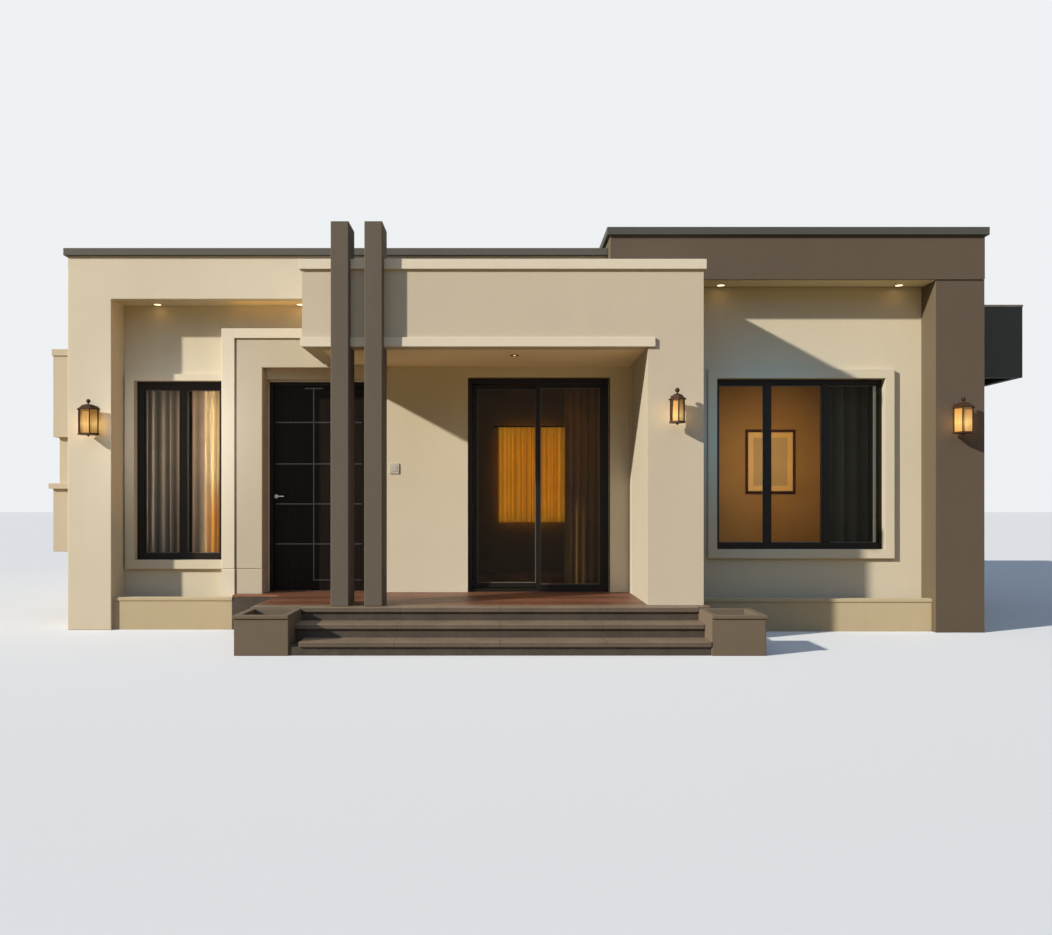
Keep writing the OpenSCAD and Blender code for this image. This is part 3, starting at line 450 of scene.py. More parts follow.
@dataclass(frozen=True)
class Timber(Finish):
    """Oiled boards that run along X, each with its own tone and grain.

    Attributes:
        dark: the colour of the dark grain.
        pitch: from one board to the next.
        first_y: where the first board starts.
        roughness: how dull the oil is.
        tones: the darkest and the lightest board's tone.
    """

    dark: Colour = (0.06, 0.024, 0.012)
    pitch: float = 0.145
    first_y: float = 0.0
    roughness: float = 0.42
    tones: tuple[float, float] = (0.66, 1.24)

    def build(self, tree: Tree) -> None:
        """Long grain, pores and rings; the board's number sets its tone.

        Args:
            tree: the material's node tree.
        """
        past_first = tree.calc("SUBTRACT", tree.axes()[1], self.first_y)
        row = tree.calc("FLOOR", tree.calc("DIVIDE", past_first, self.pitch))
        own = tree.add("TexWhiteNoise", {"W": row}, noise_dimensions="1D").outputs[0]
        slide = tree.add("CombineXYZ", {0: tree.times(own, 37.0)}).outputs[0]
        shifted = tree.add("VectorMath", {0: tree.place((0.55, 11.0, 11.0)), 1: slide},
                           operation="ADD").outputs[0]
        rings = tree.add("TexWave", {"Vector": shifted, "Scale": 1.4, "Distortion": 9.0,
                                     "Detail": 3.0, "Detail Scale": 1.2},
                         bands_direction="Y").outputs[1]
        pores = tree.noise(tree.place((6.0, 240.0, 240.0)), 1.0, 3.0)
        grain = tree.calc("ADD", tree.times(rings, 0.62), tree.times(pores, 0.38))
        wood = tree.blend(tree.span(grain, 0.2, 0.8), rgba(self.dark), rgba(self.colour))
        wood = tree.blend(1.0, wood, tree.span(own, 0.0, 1.0, *self.tones), "MULTIPLY")
        rough = tree.span(pores, NOISE_LOW, NOISE_HIGH, self.roughness - 0.08,
                          self.roughness + 0.15)
        tree.end(tree.surface(wood, rough, tree.relief(grain, 0.5 * MM)))


@dataclass(frozen=True)
class Metal(Finish):
    """Coated, brushed or cast metal.

    Attributes:
        metallic: 1 for bare metal, 0 for a coat of paint.
        roughness: how dull it is.
        patina: the colour of the clouds in the coat.
        patina_share: how much those clouds cover.
        brushed: whether it has drawn lines.
        shine: how much it reflects head on.
    """

    metallic: float = 0.0
    roughness: float = 0.4
    patina: Colour = (0.02, 0.02, 0.02)
    patina_share: float = 0.2
    brushed: bool = False
    shine: float = 0.5

    def build(self, tree: Tree) -> None:
        """A coat with fine orange peel, or drawn lines where it is brushed.

        Args:
            tree: the material's node tree.
        """
        here = tree.place()
        cloud = tree.noise(here, 14.0, 5.0, 0.6)
        colour = tree.blend(tree.span(cloud, 0.35, 0.75, 0.0, self.patina_share),
                            rgba(self.colour), rgba(self.patina))
        if self.brushed:
            fine = tree.noise(tree.place((900.0, 900.0, 12.0)), 1.0, 2.0)
        else:
            fine = tree.noise(here, 700.0, 2.0)
        rough = tree.span(cloud, NOISE_LOW, NOISE_HIGH, self.roughness - 0.07,
                          self.roughness + 0.09)
        tree.end(tree.surface(colour, rough, tree.relief(fine, 0.05 * MM), {
            "Metallic": self.metallic, "Specular IOR Level": self.shine}))


@dataclass(frozen=True)
class DoorLeaf(Finish):
    """Dark stained veneer with inlaid metal strips that stand a little proud of its face.

    Attributes:
        strip: the colour of the metal.
        face_y: where the veneer's face lies.
        roughness: how dull the lacquer is.
        pale_grain: the tone of the pale grain.
    """

    strip: Colour = (0.07, 0.065, 0.06)
    face_y: float = 0.0
    roughness: float = 0.34
    pale_grain: float = 2.1

    def build(self, tree: Tree) -> None:
        """Upright grain on the leaf, satin metal where the surface lies ahead of its face.

        Args:
            tree: the material's node tree.
        """
        ahead = tree.calc("LESS_THAN", tree.axes()[1], self.face_y - 1.0 * MM)
        grain = tree.noise(tree.place((60.0, 60.0, 1.1)), 1.0, 5.0, 0.65)
        wood = tree.blend(tree.span(grain, 0.35, 0.7), rgba(self.colour),
                          rgba(self.colour, self.pale_grain))
        colour = tree.blend(ahead, wood, rgba(self.strip))
        rough = tree.span(grain, NOISE_LOW, NOISE_HIGH, self.roughness - 0.06, self.roughness + 0.1)
        rough = tree.calc("ADD", rough, tree.times(ahead, -0.06))
        tree.end(tree.surface(colour, rough, tree.relief(grain, 0.25 * MM), {
            "Metallic": tree.times(ahead, 0.8), "Specular IOR Level": 0.06}))


@dataclass(frozen=True)
class Glass(Finish):
    """Clear or tinted sheet glass, faintly wavy, with a mirror-like surface.

    Attributes:
        clear: the share of the light that passes.
        wave: the height of the waves.
        gloss: how strong the reflection is.
    """

    clear: float = 1.0
    wave: float = 0.4 * MM
    gloss: float = 0.13

    def build(self, tree: Tree) -> None:
        """See-through, with a reflection that grows towards the edge of view.

        Args:
            tree: the material's node tree.
        """
        here = tree.place()
        normal = tree.relief(tree.noise(here, 1.3, 2.0), self.wave)
        edge = tree.add("Fresnel", {"IOR": 1.5, "Normal": normal}).outputs[0]
        share = tree.calc("MULTIPLY", edge, self.gloss, clamp=True)
        smear = tree.span(tree.noise(here, 3.0, 5.0), 0.4, 0.75, 0.985, 0.94)
        tint = tree.blend(1.0, rgba(self.colour), smear, "MULTIPLY")
        through = tree.add("BsdfTransparent", {"Color": tint}).outputs[0]
        body = tree.add("BsdfPrincipled", {"Base Color": rgba(self.colour, 0.05),
                                           "Roughness": 0.06}).outputs[0]
        pane = tree.add("MixShader", {0: 1.0 - self.clear, 1: through, 2: body}).outputs[0]
        mirror = tree.add("BsdfGlossy", {"Roughness": 0.03, "Normal": normal}).outputs[0]
        tree.end(tree.add("MixShader", {0: share, 1: pane, 2: mirror}).outputs[0])


@dataclass(frozen=True)
class LampGlass(Finish):
    """Seeded amber glass, lit from inside.

    Attributes:
        glow: the colour where the light is strongest.
        strength: how bright the glass looks.
        cast: how much more light it throws on what stands round it.
        middle_z: the height of the glass's middle.
        reach: how far up and down the light fades.
        below: how far under the middle the light is strongest.
    """

    glow: Colour = (1.0, 0.66, 0.22)
    strength: float = 0.70
    cast: float = 6.5
    middle_z: float = 2.68
    reach: float = 0.15
    below: float = 0.035

    def build(self, tree: Tree) -> None:
        """Brightest a little below the middle, with seeds and upright streaks in the glass.

        Args:
            tree: the material's node tree.
        """
        seeds = tree.noise(tree.place(), 60.0, 4.0)
        streaks = tree.noise(tree.place((75.0, 75.0, 3.0)), 1.0, 2.0)
        height = tree.calc("SUBTRACT", tree.axes()[2], self.middle_z - self.below)
        heat = tree.span(tree.calc("ABSOLUTE", height), 0.0, self.reach, 1.0, 0.28)
        spread = tree.add("LightPath").outputs["Is Diffuse Ray"]
        power = tree.times(heat, self.strength, tree.span(seeds, 0.35, 0.65, 0.85, 1.10),
                           tree.span(streaks, 0.35, 0.65, 0.50, 1.25),
                           tree.span(spread, 0.0, 1.0, 1.0, self.cast))
        warm = tree.blend(tree.span(heat, 0.22, 1.0), rgba(self.colour), rgba(self.glow))
        tree.end(tree.surface(rgba(self.colour), 0.25, tree.relief(seeds, 0.6 * MM), {
            "Emission Color": warm, "Emission Strength": power}))


@dataclass(frozen=True)
class Glow(Finish):
    """A lamp's bright opening.

    Attributes:
        strength: how bright it looks.
        diffuser: the colour of the diffuser itself.
    """

    strength: float = 3.0
    diffuser: Colour = (0.8, 0.8, 0.78)

    def build(self, tree: Tree) -> None:
        """Even light with a slightly darker grain, as a diffuser has."""
        grain = tree.vary(tree.place(), 240.0, 2.0, 0.9, 1.05)
        tree.end(tree.add("BsdfPrincipled", {
            "Base Color": rgba(self.diffuser), "Roughness": 0.4,
            "Emission Color": rgba(self.colour),
            "Emission Strength": tree.times(grain, self.strength)}).outputs[0])


@dataclass(frozen=True)
class Cloth(Finish):
    """Woven curtain cloth that lets some light through.

    Attributes:
        through: the share of the light that passes.
        threads: how fine the weave is.
        fold_shade: the painted shade deep in a fold, the tone where the cloth lies back.
        shaded_side: how far the painted shade down the left side reaches, 0 for none.
        shaded_side_colour: that painted shade's colour.
        shaded_foot: how far up from the foot the painted shade reaches, 0 for none.
        shaded_foot_colour: that painted shade's colour.
    """

    through: float = 0.45
    threads: float = 320.0
    fold_shade: float = 0.55
    shaded_side: float = 0.0
    shaded_side_colour: Colour = (0.60, 0.49, 0.41)
    shaded_foot: float = 0.0
    shaded_foot_colour: Colour = (0.90, 0.46, 0.12)

    def build(self, tree: Tree) -> None:
        """Warp and weft on the cloth's own map, with slubs, a soft sheen, and painted shade in the
        folds, down one side and up from the foot.

        Args:
            tree: the material's node tree.
        """
        warp, weft = (tree.add("TexWave", {"Vector": tree.place(uv=True), "Scale": self.threads,
                                           "Distortion": 0.6}, bands_direction=way).outputs[1]
                      for way in "XY")
        weave = tree.times(tree.calc("ADD", warp, weft), 0.5)
        fold = tree.add("Attribute", attribute_name="fold").outputs["Fac"]
        # Painted shade: the cloth is darker where its folds lie back.
        tone = tree.times(tree.span(weave, 0.0, 1.0, 0.95, 1.03),
                          tree.vary(tree.place((3.0, 60.0, 1.0), uv=True), 2.0, 3.0, 0.96, 1.04),
                          tree.span(fold, -0.6, 0.7, 1.0, self.fold_shade))
        colour: Any = rgba(self.colour)
        across, up, _ = tree.add("SeparateXYZ", {0: tree.place(uv=True)}).outputs
        # Painted shade: the cloth is darker down its left side and up from its foot.
        for along, reach, other in ((up, self.shaded_foot, self.shaded_foot_colour),
                                    (across, self.shaded_side, self.shaded_side_colour)):
            if reach > 0:
                colour = tree.blend(tree.span(along, 0.75 * reach, 1.25 * reach, 1.0, 0.0),
                                    colour, rgba(other))
        colour = tree.blend(1.0, colour, tone, "MULTIPLY")
        normal = tree.relief(weave, 0.25 * MM)
        front = tree.surface(colour, 0.85, normal, {"Sheen Weight": 0.25,
                                                    "Specular IOR Level": 0.15})
        back = tree.add("BsdfTranslucent", {"Color": colour, "Normal": normal}).outputs[0]
        tree.end(tree.add("MixShader", {0: self.through, 1: front, 2: back}).outputs[0])


@dataclass(frozen=True)
class Roofing(Finish):
    """Grey sheet membrane laid in strips, with lapped seams.

    Attributes:
        strip: the width of a strip.
        ceiling_shade: the near-black brown painted on the underside, painted shade of the dim
            rooms.
        lap_tone: the tone of the seams.
        lap_t: the thickness of a lap.
    """

    strip: float = 1.0
    ceiling_shade: Colour = (0.08, 0.05, 0.028)
    lap_tone: float = 0.45
    lap_t: float = 3 * MM

    def build(self, tree: Tree) -> None:
        """Mineral grains, ponding marks, a lap at every strip, and painted shade on the underside.

        Args:
            tree: the material's node tree.
        """
        here = tree.place()
        along = tree.calc("FRACT", tree.calc("DIVIDE", tree.axes()[0], self.strip))
        lap = tree.span(along, 0.0, 0.10, 1.0, 0.0)
        tone = tree.times(tree.vary(here, 1.1, 5.0, 0.78, 1.1, 0.6),
                          tree.vary(here, 320.0, 2.0, 0.85, 1.12))
        colour = tree.blend(1.0, rgba(self.colour), tone, "MULTIPLY")
        colour = tree.blend(tree.calc("GREATER_THAN", lap, 0.93), colour,
                            rgba(self.colour, self.lap_tone))
        # Painted shade: the faces that point down are painted near-black brown for the dim rooms.
        colour = tree.blend(tree.facing(Way.DOWN), colour, rgba(self.ceiling_shade))
        grains = tree.relief(tree.noise(here, 420.0, 2.0), 0.8 * MM)
        tree.end(tree.surface(colour, 0.9, tree.relief(lap, self.lap_t, grains)))


# Painted shade: near-black brown on the rooms' inner faces, for the dim rooms.
ROOM_SHADE: Colour = (0.08, 0.045, 0.02)
WALL_PAINT: Colour = (0.66, 0.575, 0.42)
ROOM_TOP = 3.9
# Painted shade: the faces that point left, which the low sun from the left lights strongly, are
# painted darker.
LEFT_FACE_SHADE = PaintedShading(Way.LEFT, (0.52, 0.46, 0.34))


def house_wall(name: str, inward: Way) -> Render:
    """Cream render outside, and inside, up to the rooms' ceilings, a near-black brown as painted
    shade of the dim rooms.
    """
    return Render(name, "cream_render", WALL_PAINT,
                  painted_shading=(LEFT_FACE_SHADE, PaintedShading(inward, ROOM_SHADE, ROOM_TOP)))


CREAM = Render("cream_render", "cream_render", (0.70, 0.61, 0.455), painted_shading=(LEFT_FACE_SHADE,))
WALL = house_wall("wall_render", Way.BACK)
BACK = house_wall("back_wall_render", Way.FRONT)
LEFT = house_wall("left_wall_render", Way.RIGHT)
RIGHT = house_wall("right_wall_render", Way.LEFT)
PLANTER = Render("planter_wall_render", "cream_render", (0.54, 0.435, 0.27))
# Painted shade: the beige and the bay's faces that point left are painted darker, for the strong
# sun from the left.
BEIGE = Render("beige_render", "beige_render", (0.59, 0.505, 0.375),
               painted_shading=(PaintedShading(Way.LEFT, (0.45, 0.40, 0.295)),))
BAY = Render("bay_render", "beige_render", (0.575, 0.485, 0.35),
             painted_shading=(PaintedShading(Way.LEFT, (0.45, 0.39, 0.295)),))
LINING = Paint("lining_paint", "beige_render", (0.64, 0.48, 0.36), grain=0.1 * MM)
PANEL = Render("panel_render", "beige_render", (0.55, 0.475, 0.345))
# Painted shade: the pale render's faces that point left are painted darker, for the strong sun from
# the left.
PALE = Render("pale_coping_render", "cream_render", (0.735, 0.65, 0.50), runs=0.015,
              painted_shading=(PaintedShading(Way.LEFT, (0.56, 0.50, 0.39)),))
# Painted light: the taupe's faces that point left are painted lighter and warmer, for light thrown
# back onto them.
TAUPE = Render("taupe_render", "taupe_render", (0.120, 0.090, 0.064), runs=0.05,
               painted_shading=(PaintedShading(Way.LEFT, (0.137, 0.106, 0.063)),))
COPING = Render("dark_coping", "taupe_coping", (0.104, 0.096, 0.080), roughness=0.7, runs=0.03)
COPING_HIGH = Render("high_coping", "taupe_coping", (0.075, 0.073, 0.063), roughness=0.7, runs=0.03)
FIN = Render("fin_render", "fin_render", (0.130, 0.106, 0.079), runs=0.05)
BOX = Render("box_planter_render", "planter_render", (0.16, 0.121, 0.082))
SOFFIT = Paint("soffit_paint", "soffit_render", (0.95, 0.74, 0.48), grain=0.15 * MM)
TAN = Paint("tan_soffit_paint", "soffit_render", (0.72, 0.63, 0.44), grain=0.15 * MM)
ROOM = Paint("room_paint", "room_paint", (0.33, 0.19, 0.060), grain=0.12 * MM)
# The treads' upper faces carry a painted highlight.
TREAD = Stone("step_stone", "step_stone", (0.121, 0.086, 0.054), (0.073, 0.051, 0.031), slab=1.14,
              top_highlight=1.75)
BASE = Stone("base_concrete", "concrete", (0.065, 0.048, 0.032), (0.038, 0.028, 0.018), 0.8, 60.0)
FLOOR_IN = Stone("floor_screed", "concrete", (0.09, 0.055, 0.032), (0.06, 0.038, 0.022), 0.5, 40.0)
ROOF = Roofing("roof_membrane", "roof_membrane", (0.30, 0.29, 0.27))
DECK = Timber("deck_timber", "deck_timber", (0.24, 0.090, 0.043))
FRAME_WOOD = Timber("picture_frame_wood", "deck_timber", (0.06, 0.016, 0.008), (0.03, 0.007, 0.004),
                    pitch=3.0)
BLACK = Metal("black_frame", "black_frame", (0.014, 0.011, 0.008), roughness=0.42,
              patina=(0.020, 0.016, 0.012), shine=0.12)
CANOPY = Metal("canopy_metal", "canopy_metal", (0.052, 0.057, 0.050), roughness=0.5,
               patina=(0.056, 0.058, 0.052), shine=0.2)
OPENING = Metal("opening_bead", "handle_steel", (0.90, 0.85, 0.78), roughness=0.5, shine=0.3)
TRIM = Metal("pale_metal_trim", "handle_steel", (0.50, 0.44, 0.36), roughness=0.45, shine=0.3)
BEAD = Metal("glass_bead", "handle_steel", (0.20, 0.175, 0.145), roughness=0.5, shine=0.2)
PALE_BEAD = Metal("pale_bead", "handle_steel", (0.60, 0.52, 0.36), roughness=0.5, shine=0.2)
PLATE = Metal("switch_plate", "handle_steel", (0.55, 0.50, 0.42), roughness=0.4, shine=0.3)
LEAF = DoorLeaf("door_leaf", "door_leaf", (0.0075, 0.0052, 0.0036))
STEEL = Metal("handle_steel", "handle_steel", (0.52, 0.50, 0.46), metallic=1.0, roughness=0.28,
              brushed=True)
BRONZE = Metal("lantern_bronze", "lantern_bronze", (0.060, 0.026, 0.010), metallic=0.35,
               roughness=0.50, patina=(0.022, 0.012, 0.007), patina_share=0.7, shine=0.25)
GOLD_MAT = Paint("picture_mat", "room_paint", (0.72, 0.49, 0.20))
OCHRE = Paint("picture_panel", "room_paint", (0.48, 0.36, 0.19))
CLEAR = Glass("clear_glass", "glass", (0.93, 0.96, 0.95))
DARK_GLASS = Glass("dark_glass", "dark_glass", (0.10, 0.12, 0.13), clear=0.55)
AMBER = LampGlass("lantern_amber", "lantern_glass", (0.50, 0.25, 0.06))
LAMP = Glow("downlight_glow", "lantern_glass", (1.0, 0.74, 0.42), strength=2.4)


def sharp_edges(bm: bmesh.types.BMesh) -> list[bmesh.types.BMEdge]:
    """The edges where two faces meet at more than the sharp angle."""
    return [e for e in bm.edges if len(e.link_faces) == 2 and e.calc_face_angle(0.0) > SHARP]


def round_edges(bm: bmesh.types.BMesh, edges: Sequence[bmesh.types.BMEdge], width: float,
                segments: int = 2) -> None:
    """Rounds edges of a mesh.

    Args:
        bm: the mesh.
        edges: the edges that are rounded.
        width: the width of the rounding, 0 for none.
        segments: how many faces the rounding has.
    """
    if width > 0:
        bmesh.ops.bevel(bm, geom=edges, offset=width, segments=segments, profile=0.5,
                        affect="EDGES", material=-1)


def push_back(bm: bmesh.types.BMesh, depth: float, bevel: float = 0.0) -> None:
    """Gives flat upright faces a depth towards the back.

    Args:
        bm: the mesh, which holds nothing but those faces.
        depth: how deep they become.
        bevel: the width of the rounding on the sharp edges.
    """
    grown = bmesh.ops.extrude_face_region(bm, geom=bm.faces[:])["geom"]
    bmesh.ops.translate(bm, vec=(0, depth, 0),
                        verts=[g for g in grown if isinstance(g, bmesh.types.BMVert)])
    bmesh.ops.recalc_face_normals(bm, faces=bm.faces)
    round_edges(bm, sharp_edges(bm), bevel)


def add_box(bm: bmesh.types.BMesh, low: Sequence[float], high: Sequence[float],
            bevel: float = 0.0, segments: int = 2) -> None:
    """Adds a block between two corners.

    Args:
        bm: the mesh that the block joins.
        low: the lowest corner.
        high: the highest corner.
        bevel: the width of the rounding on its edges.
        segments: how many faces the rounding has.
    """
    low_v, high_v = Vector(low), Vector(high)
    matrix = (Matrix.Translation((low_v + high_v) / 2)
              @ Matrix.Diagonal((*(high_v - low_v), 1.0)))
    made = bmesh.ops.create_cube(bm, size=1.0, matrix=matrix)["verts"]
    round_edges(bm, list({e for v in made for e in v.link_edges}), bevel, segments)


def add_ring(bm: bmesh.types.BMesh, low: Sequence[float], high: Sequence[float], width: float,
             bevel: float = 0.0) -> None:
    """Adds an upright rectangular ring that faces the front.

    Args:
        bm: the mesh that the ring joins.
        low: the lowest corner of the ring's outside.
        high: the highest corner of the ring's outside.
        width: how wide its four sides are.
        bevel: the width of the rounding on its edges.
    """
    (x0, y0, z0), (x1, y1, z1) = low, high
    ring = bmesh.new()
    matrix = (Matrix.Translation(((x0 + x1) / 2, y0, (z0 + z1) / 2))
              @ Matrix.Rotation(math.pi / 2, 4, "X") @ Matrix.Diagonal((x1 - x0, z1 - z0, 1, 1)))
    bmesh.ops.create_grid(ring, x_segments=1, y_segments=1, size=0.5, matrix=matrix)
    bmesh.ops.inset_region(ring, faces=ring.faces[:], thickness=width, use_boundary=True,
                           use_even_offset=True)
    middle = min(ring.faces, key=lambda f: (f.calc_center_median() - matrix.translation).length)
    bmesh.ops.delete(ring, geom=[middle], context="FACES_ONLY")
    push_back(ring, y1 - y0, bevel)
    join(bm, ring)


def lathe(bm: bmesh.types.BMesh, profile: Sequence[tuple[float, float]],
          centre: Sequence[float], steps: int) -> None:
    """Turns a profile about an upright axis.

    Args:
        bm: the mesh that the turned form joins.
        profile: radius and height, from one end to the other.
        centre: where the axis starts.
        steps: how many faces go round.
    """
    turned = bmesh.new()
    verts = [turned.verts.new((r, 0.0, z)) for r, z in profile]
    edges = [turned.edges.new(pair) for pair in zip(verts, verts[1:])]
    bmesh.ops.spin(turned, geom=verts + edges, cent=(0, 0, 0), axis=Way.UP.value,
                   angle=2 * math.pi, steps=steps, use_merge=True)
    bmesh.ops.remove_doubles(turned, verts=turned.verts, dist=MERGE)
    bmesh.ops.recalc_face_normals(turned, faces=turned.faces)
    bmesh.ops.translate(turned, vec=Vector(centre), verts=turned.verts)
    join(bm, turned)


def join(bm: bmesh.types.BMesh, other: bmesh.types.BMesh) -> None:
    """Adds another mesh to a mesh.

    Args:
        bm: the mesh that grows.
        other: the mesh that joins it, which is freed.
    """
    mesh = bpy.data.meshes.new("joined")
    other.to_mesh(mesh)
    other.free()
    bm.from_mesh(mesh)
    bpy.data.meshes.remove(mesh)


def corners(name: str) -> list[Vector]:
    """The corners of a node's mesh."""
    return [vert.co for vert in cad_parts[name].data.vertices]


def node_mesh(name: str) -> bmesh.types.BMesh:
    """A merged copy of a node's mesh.

    Args:
        name: the node's name.

    Returns:
        The copy, with its doubled corners merged.
    """
    bm = bmesh.new()
    bm.from_mesh(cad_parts[name].data)
    bmesh.ops.remove_doubles(bm, verts=bm.verts, dist=MERGE)
    return bm


def solid_boxes(name: str) -> list[Box]:
    """The boxes of the separate solids in a node, from left to right.

    Args:
        name: the node's name.

    Returns:
        The lowest and highest corner of each solid.
    """
    bm = node_mesh(name)
    left, boxes = set(bm.verts), []
    while left:
        island, queue = set(), [left.pop()]
        while queue:
            vert = queue.pop()
            island.add(vert)
            for edge in vert.link_edges:
                other = edge.other_vert(vert)
                if other in left:
                    left.discard(other)
                    queue.append(other)
        points = [v.co for v in island]
        boxes.append((Vector([min(p[i] for p in points) for i in range(3)]),
                      Vector([max(p[i] for p in points) for i in range(3)])))
    bm.free()
    return sorted(boxes, key=lambda b: (round(b[0].x, 3), b[0].y))


def put_in_scene(name: str, data: bpy.types.ID) -> bpy.types.Object:
    """Makes an object and puts it in the scene.

    Args:
        name: the object's name.
        data: its mesh, lamp or camera.

    Returns:
        The object.
    """
    item = bpy.data.objects.new(name, data)
    bpy.context.scene.collection.objects.link(item)
    return item


def make_piece(name: str, bm: bmesh.types.BMesh, finish: Finish, body: Body = Body.HOUSE,
               replaces: Sequence[str] = (), smooth: bool = False) -> bpy.types.Object:
    """Turns a mesh into a piece that rides on a body.

    Args:
        name: the piece's name.
        bm: its mesh, which is freed.
        finish: its finish.
        body: the body that it rides on.
        replaces: the nodes that it stands for.
        smooth: whether its faces are shaded smooth up to the sharp edges.

    Returns:
        The piece.
    """
    bmesh.ops.recalc_face_normals(bm, faces=bm.faces)
    mesh = bpy.data.meshes.new(name)
    for face in bm.faces:
        face.smooth = smooth
    if smooth:
        for edge in sharp_edges(bm):
            edge.smooth = False
    bm.to_mesh(mesh)
    bm.free()
    obj = put_in_scene(name, mesh)
    mesh.materials.append(finish.material())
    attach(obj, body.value)
    if replaces:
        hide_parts(*replaces)
    LOG.info("piece %s: %d faces", name, len(mesh.polygons))
    return obj


def dress(names: Iterable[str], finish: Finish, arris: float = 0.0, segments: int = 2) -> None:
    """Gives nodes of the frame their finish, and softens their arrises if asked.

    Args:
        names: the nodes' names.
        finish: the finish that they get.
        arris: the width of the softened arris, 0 for none.
        segments: how many faces the arris has.
    """
    for name in names:
        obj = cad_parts[name]
        obj.data.materials.clear()
        obj.data.materials.append(finish.material())
        if arris > 0:
            weld = obj.modifiers.new("merge", "WELD")
            weld.merge_threshold = MERGE
            soft = obj.modifiers.new("arris", "BEVEL")
            soft.width, soft.segments = arris, segments
            soft.limit_method, soft.angle_limit = "ANGLE", SHARP
            soft.harden_normals = False
        LOG.info("dressed %s", name)


@dataclass
class Walls:
    """The rendered block walls, the floor and the roof between them.

    Attributes:
        cream: the finish of the front walls.
        names: the nodes that have it.
    """

    cream: Finish = WALL
    names: tuple[str, ...] = ("front_wall_left", "door_head_wall", "porch_wall_middle",
                              "patio_head_wall", "porch_wall_right", "front_wall_right",
                              "roof_divider")

    def build(self) -> None:
        """Paints the walls, the rooms' floor and the roof."""
        dress(self.names, self.cream)
        for name, finish in (("left_wall", LEFT), ("right_wall", RIGHT), ("back_wall", BACK)):
            dress([name], finish)
        dress(["room_wall"], ROOM)
        dress(["floor_slab"], FLOOR_IN)
        dress(["roof_slab"], ROOF)


@dataclass
class FrontFrames:
    """The pale frame of the left wing and the dark frame of the right one.

    Attributes:
        arris: the rounding of both frames.
        inset: how far the soffit board lies behind the fascia's face.
        board: the thickness of the soffit board.
    """

    arris: float = ARRIS
    inset: float = 24 * MM
    board: float = SOFFIT_BOARD

    def build(self) -> None:
        """Makes the left frame in one piece, and softens the right one."""
        self.left_frame()
        dress(["right_column", "right_fascia"], TAUPE, self.arris)
        self.soffit_board()

    def soffit_board(self) -> None:
        """The lighter underside between the pier and the column."""
        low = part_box("right_fascia")[0]
        left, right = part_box("portico_pier")[1].x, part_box("right_column")[0].x
        bm = bmesh.new()
        add_box(bm, (left, low.y + self.inset, low.z - self.board),
                (right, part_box("front_wall_right")[0].y, low.z))
        make_piece("right_soffit", bm, TAN)

    def left_frame(self) -> None:
        """An upside-down L: the leg and the beam that it carries."""
        leg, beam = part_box("left_frame_leg"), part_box("front_beam")
        outline = [(leg[0].x, leg[0].z), (leg[1].x, leg[0].z), (leg[1].x, beam[0].z),
                   (beam[1].x, beam[0].z), (beam[1].x, beam[1].z), (beam[0].x, beam[1].z)]
        bm = bmesh.new()
        bm.faces.new([bm.verts.new((x, leg[0].y, z)) for x, z in outline])
        push_back(bm, leg[1].y - leg[0].y, self.arris)
        make_piece("left_frame", bm, CREAM, replaces=("left_frame_leg", "front_beam"))


@dataclass
class Copings:
    """Dark copings along the two roofs.

    Attributes:
        arris: the rounding of their edges.
    """

    arris: float = 7 * MM

    def build(self) -> None:
        """Softens and colours both copings."""
        dress(["left_coping"], COPING, self.arris)
        dress(["right_coping"], COPING_HIGH, self.arris)


@dataclass
class Portico:
    """The open porch ahead of the walls, with its two upright fins.

    Attributes:
        arris: the rounding of the fins.
        coping_arris: the rounding of the coping and the band.
    """

    arris: float = ARRIS
    coping_arris: float = 5 * MM

    def build(self) -> None:
        """Colours the portico's pieces, each in its own tone."""
        dress(["portico_pier", "portico_front", "portico_side"], BEIGE)
        dress(["portico_roof"], SOFFIT)
        dress(["portico_coping", "portico_band"], PALE, self.coping_arris)
        dress(["fin_left", "fin_right"], FIN, self.arris)


